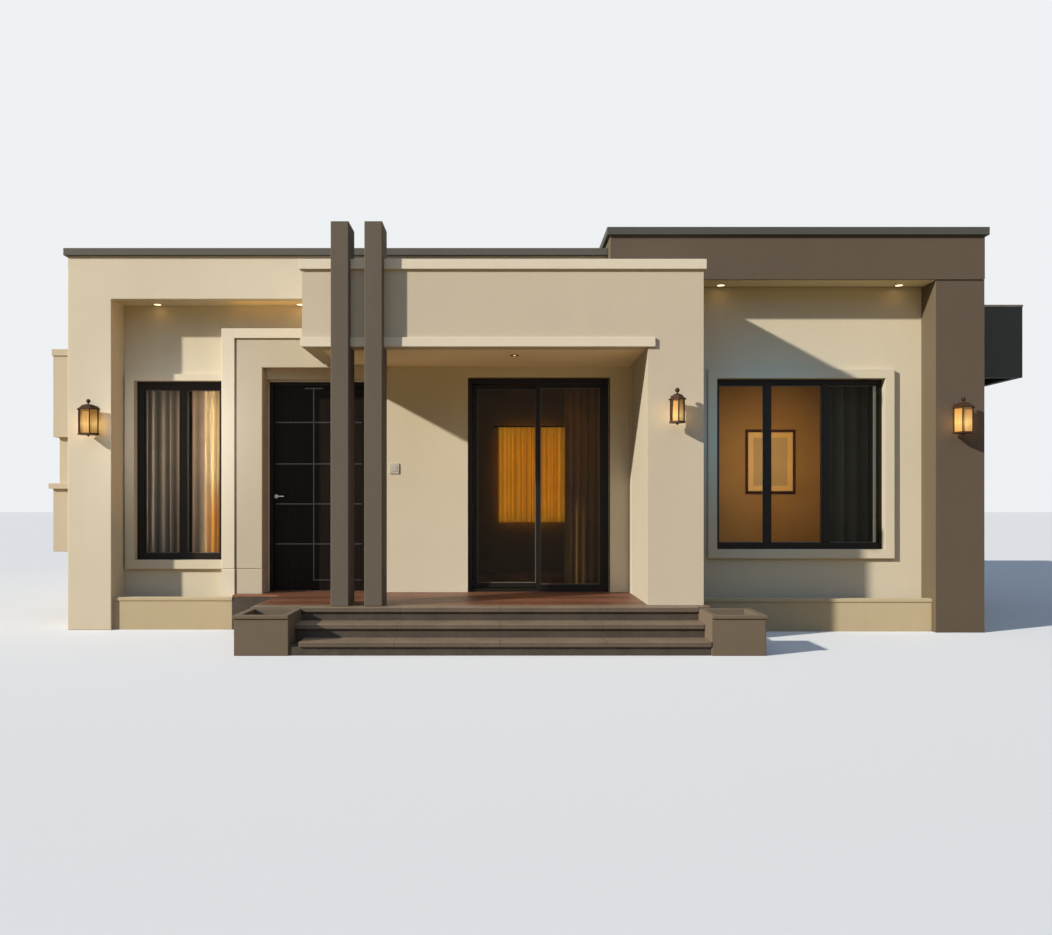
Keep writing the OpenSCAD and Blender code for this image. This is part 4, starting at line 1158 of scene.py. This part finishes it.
@dataclass
class Deck:
    """Hardwood boards on the porch, with small gaps and staggered end joints.

    Attributes:
        pitch: from one board to the next.
        gap: the gap beside each board, twice the gap at its ends.
        round_over: the rounding of the boards' edges.
        longest: the length of the longest board.
        shortest: the shortest board, as a share of the longest.
        seed: what the lengths are drawn from.
    """

    pitch: float = 0.19
    gap: float = 8 * MM
    round_over: float = 2.5 * MM
    longest: float = 3.2
    shortest: float = 0.55
    seed: int = 7

    def build(self) -> None:
        """Cuts the deck's own plan into boards."""
        low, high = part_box("porch_deck")
        source = node_mesh("porch_deck")
        boards = bmesh.new()
        chance = random.Random(self.seed)
        for row in range(math.ceil((high.y - low.y) / self.pitch)):
            y0 = low.y + row * self.pitch
            strip = self.cut(source, Way.BACK, y0 + self.gap / 2, y0 + self.pitch - self.gap / 2)
            cuts = [low.x]
            while cuts[-1] < high.x:
                cuts.append(cuts[-1] + self.longest * chance.uniform(self.shortest, 1.0))
            for x0, x1 in zip(cuts, cuts[1:]):
                board = self.cut(strip, Way.RIGHT, x0 + self.gap / 4, x1 - self.gap / 4)
                if board.faces:
                    round_edges(board, sharp_edges(board), self.round_over)
                join(boards, board)
            strip.free()
        source.free()
        timber = replace(DECK, pitch=self.pitch, first_y=low.y)
        make_piece("deck_boards", boards, timber, replaces=("porch_deck",))

    def cut(self, source: bmesh.types.BMesh, way: Way, low: float,
            high: float) -> bmesh.types.BMesh:
        """A copy of a mesh between two planes, closed where it is cut.

        Args:
            source: the closed mesh that is cut.
            way: the way across the planes.
            low: where the first plane lies.
            high: where the second plane lies.

        Returns:
            The copy; it has no faces where nothing lies between the planes.
        """
        bm = source.copy()
        across = Vector(way.value)
        for at, side in ((low, -1.0), (high, 1.0)):
            geom = bm.verts[:] + bm.edges[:] + bm.faces[:]
            made = bmesh.ops.bisect_plane(bm, geom=geom, dist=MERGE, plane_co=across * at,
                                          plane_no=across * side, clear_outer=True)["geom_cut"]
            edges = [g for g in made if isinstance(g, bmesh.types.BMEdge) and g.is_boundary]
            if edges:
                bmesh.ops.edgenet_fill(bm, edges=edges)
        bmesh.ops.dissolve_limit(bm, angle_limit=NEARLY_FLAT, verts=bm.verts, edges=bm.edges)
        return bm


@dataclass
class Steps:
    """The stone treads, the base below them and the planters beside them.

    Attributes:
        nosing: the rounding of the treads.
        planter_arris: the rounding of the planters.
    """

    nosing: float = 8 * MM
    planter_arris: float = 6 * MM

    def build(self) -> None:
        """Rounds the nosings and colours the steps and the planters."""
        dress(["step_treads"], TREAD, self.nosing, 3)
        dress(["porch_base"], BASE)
        dress(["box_planter_left", "box_planter_right"], BOX, self.planter_arris)
        dress(["planter_left", "planter_right"], PLANTER, self.planter_arris)


@dataclass
class DoorSet:
    """The front door in its raised surround, the beads of both doors and a plate on the wall.

    Attributes:
        trim_w: the width of the pale beads.
        trim_t: how far the front door's bead stands ahead of its frame.
        trim_arris: the rounding of the beads.
        lining_t: the thickness of the linings in the door's recess.
        band_arris: the rounding of the surround's band.
        panel_arris: the rounding of the surround's panel.
        inlay_t: how far the inlaid strips stand ahead of the leaf.
        plate_low: the lowest corner of the plate.
        plate_high: the highest corner of the plate.
        plate_arris: the rounding of the plate.
        rocker_t: how far the rocker stands ahead of the plate.
        rocker_arris: the rounding of the rocker.
        rocker_inset: the plate's border round the rocker, as a share of the plate.
    """

    trim_w: float = 15 * MM
    trim_t: float = 8 * MM
    trim_arris: float = 1.5 * MM
    lining_t: float = 4 * MM
    band_arris: float = 6 * MM
    panel_arris: float = 4 * MM
    inlay_t: float = 4 * MM
    plate_low: Point = (-1.474, -4.512, 2.03)
    plate_high: Point = (-1.346, -4.5, 2.17)
    plate_arris: float = 3 * MM
    rocker_t: float = 4 * MM
    rocker_arris: float = 1.5 * MM
    rocker_inset: float = 0.22

    def build(self) -> None:
        """Dresses the surround, the frame, the leaf and its handle, and adds the trims."""
        self.trims()
        self.lining()
        self.plate()
        dress(["surround_band"], PALE, self.band_arris)
        dress(["surround_panel"], PANEL, self.panel_arris)
        dress(["door_frame"], BLACK)
        front = min(p.y for p in corners("front_door"))
        dress(["front_door"], replace(LEAF, face_y=front + self.inlay_t))
        dress(["door_handle"], STEEL)

    def trims(self) -> None:
        """A thin pale bead over each door frame and up its outer side."""
        bm = bmesh.new()
        low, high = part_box("door_frame")
        front = low.y - self.trim_t
        add_box(bm, (low.x, front, low.z), (low.x + self.trim_w, low.y, high.z), self.trim_arris)
        add_box(bm, (low.x, front, high.z - self.trim_w), (high.x, low.y, high.z), self.trim_arris)
        low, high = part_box("patio_frame")
        wall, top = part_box("patio_head_wall")[0].y, high.z + self.trim_w
        add_box(bm, (high.x, low.y, low.z), (high.x + self.trim_w, wall, top), self.trim_arris)
        add_box(bm, (low.x, low.y, high.z), (high.x, wall, top), self.trim_arris)
        make_piece("opening_trims", bm, OPENING)

    def lining(self) -> None:
        """Brown linings on the left side and the head of the door's recess."""
        low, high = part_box("door_frame")
        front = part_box("surround_panel")[0].y + 2 * self.lining_t
        head = min(p.z for p in corners("surround_panel") if p.x > low.x + self.trim_w)
        bm = bmesh.new()
        add_box(bm, (low.x, front, low.z), (low.x + self.lining_t, low.y, head))
        add_box(bm, (low.x, front, head - self.lining_t), (high.x, low.y, head))
        add_box(bm, (low.x, low.y - self.lining_t, high.z), (high.x, low.y, head))
        make_piece("door_lining", bm, LINING)

    def plate(self) -> None:
        """A raised plate with a rocker on the porch wall."""
        low, high = Vector(self.plate_low), Vector(self.plate_high)
        inset = (high - low) * self.rocker_inset
        bm = bmesh.new()
        add_box(bm, low, high, self.plate_arris, 3)
        add_box(bm, (low.x + inset.x, low.y - self.rocker_t, low.z + inset.z),
                (high.x - inset.x, low.y, high.z - inset.z), self.rocker_arris)
        make_piece("wall_plate", bm, PLATE)


@dataclass
class Glazing:
    """Window frames, the patio door and all the sheets of glass.

    Attributes:
        bead: the width of the glazing beads.
        bead_t: how far they stand ahead of the glass.
        side: the width of the right window's pale bead.
        side_t: how far that bead stands ahead of the glass.
        side_arris: the rounding of that bead.
        rebate: how far the glass reaches into its frame.
        margin: how near the glass's ends no bar stands.
    """

    bead: float = 8 * MM
    bead_t: float = 5 * MM
    side: float = 42 * MM
    side_t: float = 6 * MM
    side_arris: float = 1 * MM
    rebate: float = 18 * MM
    margin: float = 0.1

    def build(self) -> None:
        """Coats the frames, glazes them and sets the beads."""
        dress(["left_window_frame", "right_window_frame", "side_window_frames", "patio_frame",
               "patio_sash"], BLACK)
        dress(["front_glass", "side_glass", "patio_fixed_glass", "patio_sash_glass"], CLEAR)
        self.beads()

    def beads(self) -> None:
        """Thin glazing beads in each opening of the front frames."""
        left, right = solid_boxes("front_glass")
        for name, panes, body in (
                ("left_beads", self.panes("left_window_frame", left), Body.HOUSE),
                ("right_beads", self.panes("right_window_frame", right), Body.HOUSE),
                ("patio_beads", [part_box("patio_fixed_glass")], Body.HOUSE),
                ("sash_beads", [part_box("patio_sash_glass")], Body.PATIO_LEAF)):
            bm = bmesh.new()
            for low, high in panes:
                add_ring(bm, (low.x, low.y - self.bead_t, low.z), (high.x, low.y, high.z),
                         self.bead)
            make_piece(name, bm, BEAD, body)
        self.side_bead(self.panes("right_window_frame", right)[-1])

    def side_bead(self, pane: Box) -> None:
        """The wide pale bead down the right side of the right window's last pane.

        Args:
            pane: the box of that pane.
        """
        low, high = pane
        bm = bmesh.new()
        add_box(bm, (high.x - self.side, low.y - self.side_t, low.z), (high.x, low.y, high.z),
                self.side_arris)
        make_piece("right_side_bead", bm, PALE_BEAD)

    def panes(self, name: str, glass: Box) -> list[Box]:
        """The parts of a sheet of glass that its frame and the bars ahead of it leave in view.

        Args:
            name: the frame's node.
            glass: the box of its sheet of glass.

        Returns:
            The box of each pane.
        """
        low, high = glass
        sides = sorted({round(p.x, 4) for p in corners(name)
                        if low.x + self.margin < p.x < high.x - self.margin})
        sides = [low.x + self.rebate, *sides, high.x - self.rebate]
        bottom, top = low.z + self.rebate, high.z - self.rebate
        return [(Vector((x0, low.y, bottom)), Vector((x1, high.y, top)))
                for x0, x1 in zip(sides[::2], sides[1::2])]


@dataclass
class SideBoxes:
    """The box bay on the left side and the dark canopy on the right one.

    Attributes:
        bay_arris: the rounding of the bay.
        canopy_arris: the rounding of the canopy.
        flashing: how far the flashing reaches down the canopy.
        flashing_arris: the rounding of the flashing.
        past: how far the flashing stands past the canopy.
    """

    bay_arris: float = 6 * MM
    canopy_arris: float = 4 * MM
    flashing: float = 22 * MM
    flashing_arris: float = 2 * MM
    past: float = 6 * MM

    def build(self) -> None:
        """Renders the bay, coats the canopy and caps it."""
        dress(["side_bay"], BAY, self.bay_arris)
        dress(["bay_glazing"], DARK_GLASS)
        dress(["side_canopy"], CANOPY, self.canopy_arris)
        self.canopy_cap()

    def canopy_cap(self) -> None:
        """A pale metal flashing along the canopy's top."""
        low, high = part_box("side_canopy")
        bm = bmesh.new()
        add_box(bm, (low.x, low.y - self.past, high.z - self.flashing),
                (high.x + self.past, high.y + self.past, high.z + self.past),
                self.flashing_arris)
        make_piece("canopy_cap", bm, TRIM)


@dataclass
class Downlights:
    """Small round lamps let into the undersides of the wings' frames and the porch.

    Attributes:
        lens_r: the radius of a lens.
        ring_r: the outer radius of the ring round it.
        ring_t: how far the ring stands below the underside.
        chamfer: the slope on the ring's lower edge.
        left_x: where the lamps of the left wing sit along it.
        right_x: where the lamps of the right wing sit along it.
        porch: where the lamp of the porch sits, X and Y.
        left_off_wall: how far the left lamps sit ahead of their wall.
        right_off_wall: how far the right lamps sit ahead of their wall.
        small: the porch lens, as a share of the others.
        steps: how many faces go round a lamp.
    """

    lens_r: float = 48 * MM
    ring_r: float = 58 * MM
    ring_t: float = 4 * MM
    chamfer: float = 2 * MM
    left_x: tuple[float, float] = (-4.536, -2.646)
    right_x: tuple[float, float] = (2.859, 5.167)
    porch: tuple[float, float] = (0.178, -5.45)
    left_off_wall: float = 50 * MM
    right_off_wall: float = 80 * MM
    small: float = 0.45
    steps: int = 28

    def places(self) -> list[Vector]:
        """Where the lamps sit, at the height of each underside.

        Returns:
            The middle of each lamp's top, with the porch's lamp last.
        """
        beam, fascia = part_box("front_beam")[0].z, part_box("right_fascia")[0].z
        left_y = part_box("front_wall_left")[0].y - self.left_off_wall
        right_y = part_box("front_wall_right")[0].y - self.right_off_wall
        return ([Vector((x, left_y, beam)) for x in self.left_x]
                + [Vector((x, right_y, fascia - SOFFIT_BOARD)) for x in self.right_x]
                + [Vector((*self.porch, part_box("portico_roof")[0].z))])

    def build(self) -> None:
        """Makes the rings and the bright lenses."""
        rings, lenses, porch_ring = bmesh.new(), bmesh.new(), bmesh.new()
        places = self.places()
        for place in places:
            in_porch = place is places[-1]
            lens_r = self.lens_r * (self.small if in_porch else 1.0)
            middle = -self.ring_t / 2
            profile = ((lens_r, 0.0), (lens_r, -self.ring_t),
                       (self.ring_r - self.chamfer, -self.ring_t), (self.ring_r, middle),
                       (self.ring_r, 0.0), (lens_r, 0.0))
            lens = ((0.0, middle), (lens_r, middle), (lens_r, 0.0), (0.0, 0.0))
            lathe(porch_ring if in_porch else rings, profile, place, self.steps)
            lathe(lenses, lens, place, self.steps)
        make_piece("downlight_rings", rings, TRIM, smooth=True)
        make_piece("porch_ring", porch_ring, BRONZE, smooth=True)
        make_piece("downlight_lenses", lenses, LAMP)


@dataclass
class Picture:
    """A plain framed picture on the wall of the right room.

    Attributes:
        low: the lowest corner; the wall gives its Y.
        high: the highest corner.
        bar: the width of the frame.
        mat: the width of the mat.
        frame_t: the thickness of the frame.
        mat_t: how far the mat stands ahead of the wall.
        panel_t: how far the panel stands ahead of the wall.
        arris: the rounding of the frame.
    """

    low: Point = (4.276, 0.0, 1.80)
    high: Point = (5.15, 0.0, 2.92)
    bar: float = 48 * MM
    mat: float = 92 * MM
    frame_t: float = 26 * MM
    mat_t: float = 13 * MM
    panel_t: float = 7.8 * MM
    arris: float = 3 * MM

    def build(self) -> None:
        """Makes the frame, the mat and the plain panel."""
        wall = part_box("room_wall")[0].y
        (x0, _, z0), (x1, _, z1) = self.low, self.high
        bm = bmesh.new()
        add_ring(bm, (x0, wall - self.frame_t, z0), (x1, wall, z1), self.bar, self.arris)
        make_piece("picture_frame", bm, FRAME_WOOD)
        bm, edge = bmesh.new(), self.bar
        add_ring(bm, (x0 + edge, wall - self.mat_t, z0 + edge), (x1 - edge, wall, z1 - edge),
                 self.mat)
        make_piece("picture_mat", bm, GOLD_MAT)
        bm, edge = bmesh.new(), self.bar + self.mat
        add_box(bm, (x0 + edge, wall - self.panel_t, z0 + edge), (x1 - edge, wall, z1 - edge))
        make_piece("picture_panel", bm, OCHRE)


@dataclass
class Lanterns:
    """Three bronze lanterns with amber glass."""

    def build(self) -> None:
        """Dresses the cages and their glasses."""
        low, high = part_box("lantern_glasses")
        dress(["wall_lanterns"], BRONZE)
        dress(["lantern_glasses"], replace(AMBER, middle_z=(low.z + high.z) / 2))


@dataclass
class Folds:
    """The folds of a gathered curtain.

    Attributes:
        count: how many folds there are.
        lean: each fold's own lean, in radians.
        reach: each fold's own depth, as a share.
        pinch: how much of the depth is left at the rod.
        pinch_rate: how soon the folds open below the rod.
        drift: how much more the folds lean at the hem.
    """

    count: int
    lean: Sequence[float]
    reach: Sequence[float]
    pinch: float = 0.55
    pinch_rate: float = 5.0
    drift: float = 0.35

    def ahead(self, u: float, v: float) -> float:
        """How far the cloth lies ahead of its middle.

        Args:
            u: the place across the curtain, from 0 to 1.
            v: the place up the curtain, from 0 to 1.

        Returns:
            The share of the depth, from -1 to 1.
        """
        at = u * self.count
        i = min(int(at), self.count)
        share = at - i
        ease = share * share * (3 - 2 * share)
        lean = self.lean[i] * (1 - ease) + self.lean[i + 1] * ease
        deep = self.reach[i] * (1 - ease) + self.reach[i + 1] * ease
        pinch = self.pinch + (1.0 - self.pinch) * min(1.0, (1.0 - v) * self.pinch_rate)
        return deep * pinch * math.sin(2 * math.pi * at + lean * (1.0 + self.drift * (1 - v)))


@dataclass
class Curtain:
    """One hanging curtain, gathered on its rod.

    Attributes:
        name: the piece's name.
        space: the box that the cloth hangs in.
        cloth: its finish.
        fold_pitch: from one fold to the next.
        seed: what the folds are drawn from.
        rows: how many faces it has up its height.
        columns: how many faces each fold has across.
        fewest: the least number of folds.
        lean: how far a fold may lean, in radians.
        shallow: the shallowest fold, as a share of the deepest.
        fill: how much of its space the cloth takes up to either side.
    """

    name: str
    space: Box
    cloth: Cloth
    fold_pitch: float
    seed: int
    rows: int = 26
    columns: int = 10
    fewest: int = 3
    lean: float = 1.9
    shallow: float = 0.40
    fill: float = 0.46

    def folds(self) -> Folds:
        """Draws the folds: first each one's lean, then each one's depth.

        Returns:
            The folds.
        """
        low, high = self.space
        chance = random.Random(self.seed)
        count = max(self.fewest, round((high.x - low.x) / self.fold_pitch))
        lean = [chance.uniform(-self.lean, self.lean) for _ in range(count + 2)]
        return Folds(count, lean, [chance.uniform(self.shallow, 1.0) for _ in range(count + 2)])

    def build(self) -> bpy.types.Object:
        """Folds a flat sheet into the space that the curtain hangs in.

        Returns:
            The curtain.
        """
        low, high = self.space
        width, height, depth = high.x - low.x, high.z - low.z, high.y - low.y
        folds = self.folds()
        bm = bmesh.new()
        uv_layer = bm.loops.layers.uv.new("flat")
        depth_layer = bm.verts.layers.float.new("fold")
        bmesh.ops.create_grid(bm, x_segments=folds.count * self.columns, y_segments=self.rows,
                              size=0.5)
        middle = (low.y + high.y) / 2
        flat: dict[bmesh.types.BMVert, tuple[float, float]] = {}
        for vert in bm.verts:
            u, v = vert.co.x + 0.5, vert.co.y + 0.5
            flat[vert] = (u, v)
            vert[depth_layer] = folds.ahead(u, v)
            vert.co = Vector((low.x + u * width, middle + vert[depth_layer] * depth * self.fill,
                              low.z + v * height))
        across = self.developed(folds)
        for face in bm.faces:
            for loop in face.loops:
                u, v = flat[loop.vert]
                loop[uv_layer].uv = (u * across, v * height)
        piece = make_piece(self.name, bm, self.cloth, smooth=True)
        return piece

    def developed(self, folds: Folds, steps: int = 2000) -> float:
        """The cloth's flat width, along its folds halfway down.

        Args:
            folds: the curtain's folds.
            steps: how finely they are followed.

        Returns:
            The flat width.
        """
        low, high = self.space
        width, depth = high.x - low.x, high.y - low.y
        points = [Vector((low.x + width * i / steps,
                          folds.ahead(i / steps, 0.5) * depth * self.fill, 0))
                  for i in range(steps + 1)]
        return sum((b - a).length for a, b in zip(points, points[1:]))


@dataclass
class Curtains:
    """The curtains seen through the panes.

    Attributes:
        sheer: the cloth of the sheer curtain on the left.
        gold: the cloth of the curtain beside it.
        orange: the cloth of the two curtains at the inner window.
        brown: the cloth of the curtain at the patio door.
        dark: the cloth of the curtain in the right room.
    """

    sheer: Cloth = Cloth("sheer_cloth", "curtain_cloth", (0.42, 0.365, 0.31), through=0.5,
                         fold_shade=0.48)
    # The gold curtain carries painted shade down its left side and up from its foot.
    gold: Cloth = Cloth("gold_cloth", "curtain_cloth", (0.92, 0.78, 0.54), through=0.4, fold_shade=0.6,
                        shaded_side=0.34, shaded_foot=1.25)
    orange: Cloth = Cloth("orange_cloth", "curtain_cloth", (0.95, 0.64, 0.13), through=0.6,
                          fold_shade=0.7)
    brown: Cloth = Cloth("brown_cloth", "curtain_cloth", (0.32, 0.145, 0.035), through=0.2,
                         fold_shade=0.75)
    dark: Cloth = Cloth("dark_cloth", "curtain_cloth", (0.10, 0.064, 0.028), through=0.2)

    def build(self) -> None:
        """Hangs the six curtains, from left to right, with each one's own pitch of folds."""
        kinds = (("curtain_left_sheer", self.sheer, 0.10), ("curtain_left_gold", self.gold, 0.10),
                 ("curtain_inner_left", self.orange, 0.075),
                 ("curtain_inner_right", self.orange, 0.075),
                 ("curtain_patio", self.brown, 0.12), ("curtain_right", self.dark, 0.16))
        pieces = [Curtain(name, space, cloth, pitch, seed).build()
                  for seed, (space, (name, cloth, pitch)) in enumerate(
                      zip(solid_boxes("curtains"), kinds), start=1)]
        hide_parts("curtains")
        dress(["curtain_rods"], BRONZE)


def shine(item: bpy.types.Object, way: Vector) -> None:
    """Turns a lamp so that it shines one way."""
    item.rotation_mode = "QUATERNION"
    item.rotation_quaternion = way.to_track_quat("-Z", "Y")


@dataclass(frozen=True)
class Lamp:
    """A lamp of the house or a soft light of the studio.

    Attributes:
        name: the lamp's name.
        place: where it hangs.
        aim: the point that it shines towards.
        power: its power, in watts.
        size: its width.
        colour: its light's colour.
        spread: how wide its light spreads, in degrees.
        height: its height, 0 where it is square.
    """

    name: str
    place: Point
    aim: Point
    power: float
    size: float
    colour: Colour = (1.0, 0.62, 0.32)
    spread: float = 180.0
    height: float = 0.0

    def build(self) -> None:
        """Hangs a flat lamp that shines towards its aim."""
        data = bpy.data.lights.new(self.name, "AREA")
        data.energy, data.color, data.size = self.power, self.colour, self.size
        data.spread = math.radians(self.spread)
        if self.height > 0:
            data.shape, data.size_y = "RECTANGLE", self.height
        item = put_in_scene(self.name, data)
        item.location = self.place
        shine(item, Vector(self.aim) - Vector(self.place))
        item.visible_camera = item.visible_glossy = item.visible_transmission = False


LAMPS = (
    Lamp("room_left", (-4.0, -3.0, 3.3), (-3.95, -4.1, 2.2), 13.0, 0.8, spread=90.0),
    Lamp("sheer_edge", (-4.94, -4.215, 2.1), (-4.2, -4.16, 2.1), 3.0, 0.05, (1.0, 0.90, 0.8),
         height=2.0),
    Lamp("gold_edge", (-4.16, -4.76, 2.4), (-3.98, -4.16, 2.06), 2.0, 0.12, (1.0, 0.76, 0.46),
         spread=14.0, height=2.1),
    Lamp("patio_curtain", (0.75, -3.6, 2.9), (1.35, -4.1, 2.0), 1.5, 0.5, spread=110.0),
    Lamp("recess_left", (-3.2, -4.80, 4.34), (-3.2, -4.56, 4.05), 4.6, 2.4, (1.0, 0.48, 0.0),
         height=0.05),
    Lamp("recess_left_end", (-2.8, -4.72, 4.12), (-2.8, -4.68, 4.4), 0.6, 1.5, (1.0, 0.50, 0.06),
         height=0.05),
    Lamp("jamb_left", (-4.55, -4.80, 2.9), (-5.0, -4.80, 2.9), 0.25, 0.05, (1.0, 0.40, 0.0),
         spread=70.0, height=2.8),
    Lamp("inner_window", (0.545, -0.73, 2.13), (0.545, -2.0, 2.13), 24.0, 1.10, (1.0, 0.76, 0.22),
         height=1.55),
    Lamp("picture_light", (4.1, -3.4, 3.2), (4.7, -0.7, 2.1), 18.0, 1.2, (1.0, 0.64, 0.32),
         spread=80.0),
    Lamp("sky_left", (-4.2, -11.0, 2.6), (-4.2, -5.0, 2.55), 3.4, 1.2, (0.95, 0.95, 1.0),
         spread=22.0),
    Lamp("sky_right", (3.55, -11.0, 2.9), (3.55, -5.0, 2.5), 3.2, 1.2, (0.0, 0.45, 1.0),
         spread=24.0))
DOWNLIGHT_POWER = 0.10
PORCH_POWER = 0.7
DOWNLIGHT_COLOUR: Colour = (1.0, 0.60, 0.20)
DOWNLIGHT_SIZE = 0.05
DOWNLIGHT_AHEAD = 0.09
DOWNLIGHT_BELOW = 0.02


@dataclass
class Studio:
    """The floor, the light and the camera.

    Attributes:
        eye: where the camera stands.
        sensor: the width of the camera's sensor, in millimetres.
        picture_px: the width of the photograph, in pixels.
        focal_px: the camera's focal length, in those pixels.
        off_centre_px: how far the point straight ahead lies from the picture's middle.
        clip_end: how far the camera sees.
        sun_way: the way that the sunlight falls.
        sun_colour: the sun's colour.
        sun_strength: the sun's strength.
        sun_wide: how wide the sun is, in degrees.
        high_sky_way: the way that the light of the high sky falls.
        high_sky_colour: the high sky's colour.
        high_sky_strength: the high sky's strength.
        high_sky_wide: how wide the high sky is, in degrees.
        sky: the even light all round.
        pale: the backdrop's colour.
        floor_reach: how far the floor reaches to each side.
        floor_colour: the floor's colour.
        bounce_colour: the floor's colour in the light that it throws back.
    """

    eye: Point = (0.0, -16.92, 1.64)
    sensor: float = 36.0
    picture_px: float = 1052
    focal_px: float = 930
    off_centre_px: tuple[float, float] = (26, 35.5)
    clip_end: float = 500.0
    sun_way: Point = (1.86, 1.0, -1.005)
    sun_colour: Colour = (1.0, 0.95, 0.87)
    sun_strength: float = 5.0
    sun_wide: float = 1.5
    high_sky_way: Point = (0.0, 0.7, -1.0)
    high_sky_colour: Colour = (0.62, 0.90, 1.38)
    high_sky_strength: float = 0.60
    high_sky_wide: float = 80.0
    sky: Colour = (0.10, 0.12, 0.150)
    pale: Colour = (0.86, 0.88, 0.90)
    floor_reach: float = 150.0
    floor_colour: Colour = (0.80, 0.80, 0.79)
    bounce_colour: Colour = (0.30, 0.215, 0.085)

    def build(self) -> None:
        """Sets the stage round the house."""
        self.camera()
        self.world()
        self.floor()
        self.lamps()
        settings = bpy.context.scene.view_settings
        settings.view_transform = "Standard"

    def camera(self) -> None:
        """A level camera square to the front."""
        data = bpy.data.cameras.new("camera")
        data.sensor_width = self.sensor
        data.lens = self.sensor * self.focal_px / self.picture_px
        data.shift_x, data.shift_y = (off / self.picture_px for off in self.off_centre_px)
        data.clip_end = self.clip_end
        camera = put_in_scene("camera", data)
        camera.location = self.eye
        camera.rotation_euler = (math.pi / 2, 0.0, 0.0)
        bpy.context.scene.camera = camera

    def world(self) -> None:
        """Soft cool light all round, and a pale backdrop where it is seen."""
        world = bpy.data.worlds.new("studio")
        bpy.context.scene.world = world
        world.use_nodes = True
        tree = Tree(world.node_tree)
        path = tree.add("LightPath").outputs
        seen = tree.calc("MAXIMUM", tree.calc("MAXIMUM", path["Is Camera Ray"],
                                              path["Is Glossy Ray"]), path["Is Transmission Ray"])
        light = tree.add("Background", {"Color": rgba(self.sky)}).outputs[0]
        backdrop = tree.add("Background", {"Color": rgba(self.pale)}).outputs[0]
        mixed = tree.add("MixShader", {0: seen, 1: light, 2: backdrop}).outputs[0]
        tree.add("OutputWorld", {"Surface": mixed})

    def floor(self) -> None:
        """A wide pale floor that keeps the shadow and throws little light back."""
        bm = bmesh.new()
        bmesh.ops.create_grid(bm, x_segments=1, y_segments=1, size=self.floor_reach)
        mesh = bpy.data.meshes.new("studio_floor")
        bm.to_mesh(mesh)
        bm.free()
        floor = put_in_scene("studio_floor", mesh)
        material = bpy.data.materials.new("studio_floor")
        material.use_nodes = True
        tree = Tree(material.node_tree)
        bounce = tree.add("LightPath").outputs["Is Diffuse Ray"]
        colour = tree.blend(bounce, rgba(self.floor_colour), rgba(self.bounce_colour))
        tree.end(tree.add("BsdfPrincipled", {"Base Color": colour, "Roughness": 0.9,
                                             "Specular IOR Level": 0.1}).outputs[0])
        mesh.materials.append(material)

    def lamps(self) -> None:
        """A low warm sun from the front left, a soft sky, and the lamps in and on the house."""
        for name, way, strength, colour, wide in (
                ("sun", self.sun_way, self.sun_strength, self.sun_colour, self.sun_wide),
                ("high_sky", self.high_sky_way, self.high_sky_strength, self.high_sky_colour,
                 self.high_sky_wide)):
            sun = bpy.data.lights.new(name, "SUN")
            sun.energy, sun.color, sun.angle = strength, colour, math.radians(wide)
            shine(put_in_scene(name, sun), Vector(way))
        for lamp in LAMPS:
            lamp.build()
        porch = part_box("portico_roof")[0].z
        down = Vector(Way.DOWN.value)
        for number, place in enumerate(Downlights().places()):
            in_porch = abs(place.z - porch) < MM
            at = place + Vector((0.0, 0.0 if in_porch else -DOWNLIGHT_AHEAD, -DOWNLIGHT_BELOW))
            Lamp(f"downlight_{number}", tuple(at), tuple(at + down),
                 PORCH_POWER if in_porch else DOWNLIGHT_POWER, DOWNLIGHT_SIZE,
                 DOWNLIGHT_COLOUR).build()


def main() -> None:
    """Builds every sub-assembly in order."""
    logging.basicConfig(level=logging.INFO, format="%(name)s: %(message)s")
    for part in (Walls(), FrontFrames(), Copings(), Portico(), Deck(), Steps(), DoorSet(),
                 Glazing(), SideBoxes(), Lanterns(), Downlights(), Picture(), Curtains(), Studio()):
        part.build()
        LOG.info("built %s", type(part).__name__)


if __name__ == "__main__":
    main()
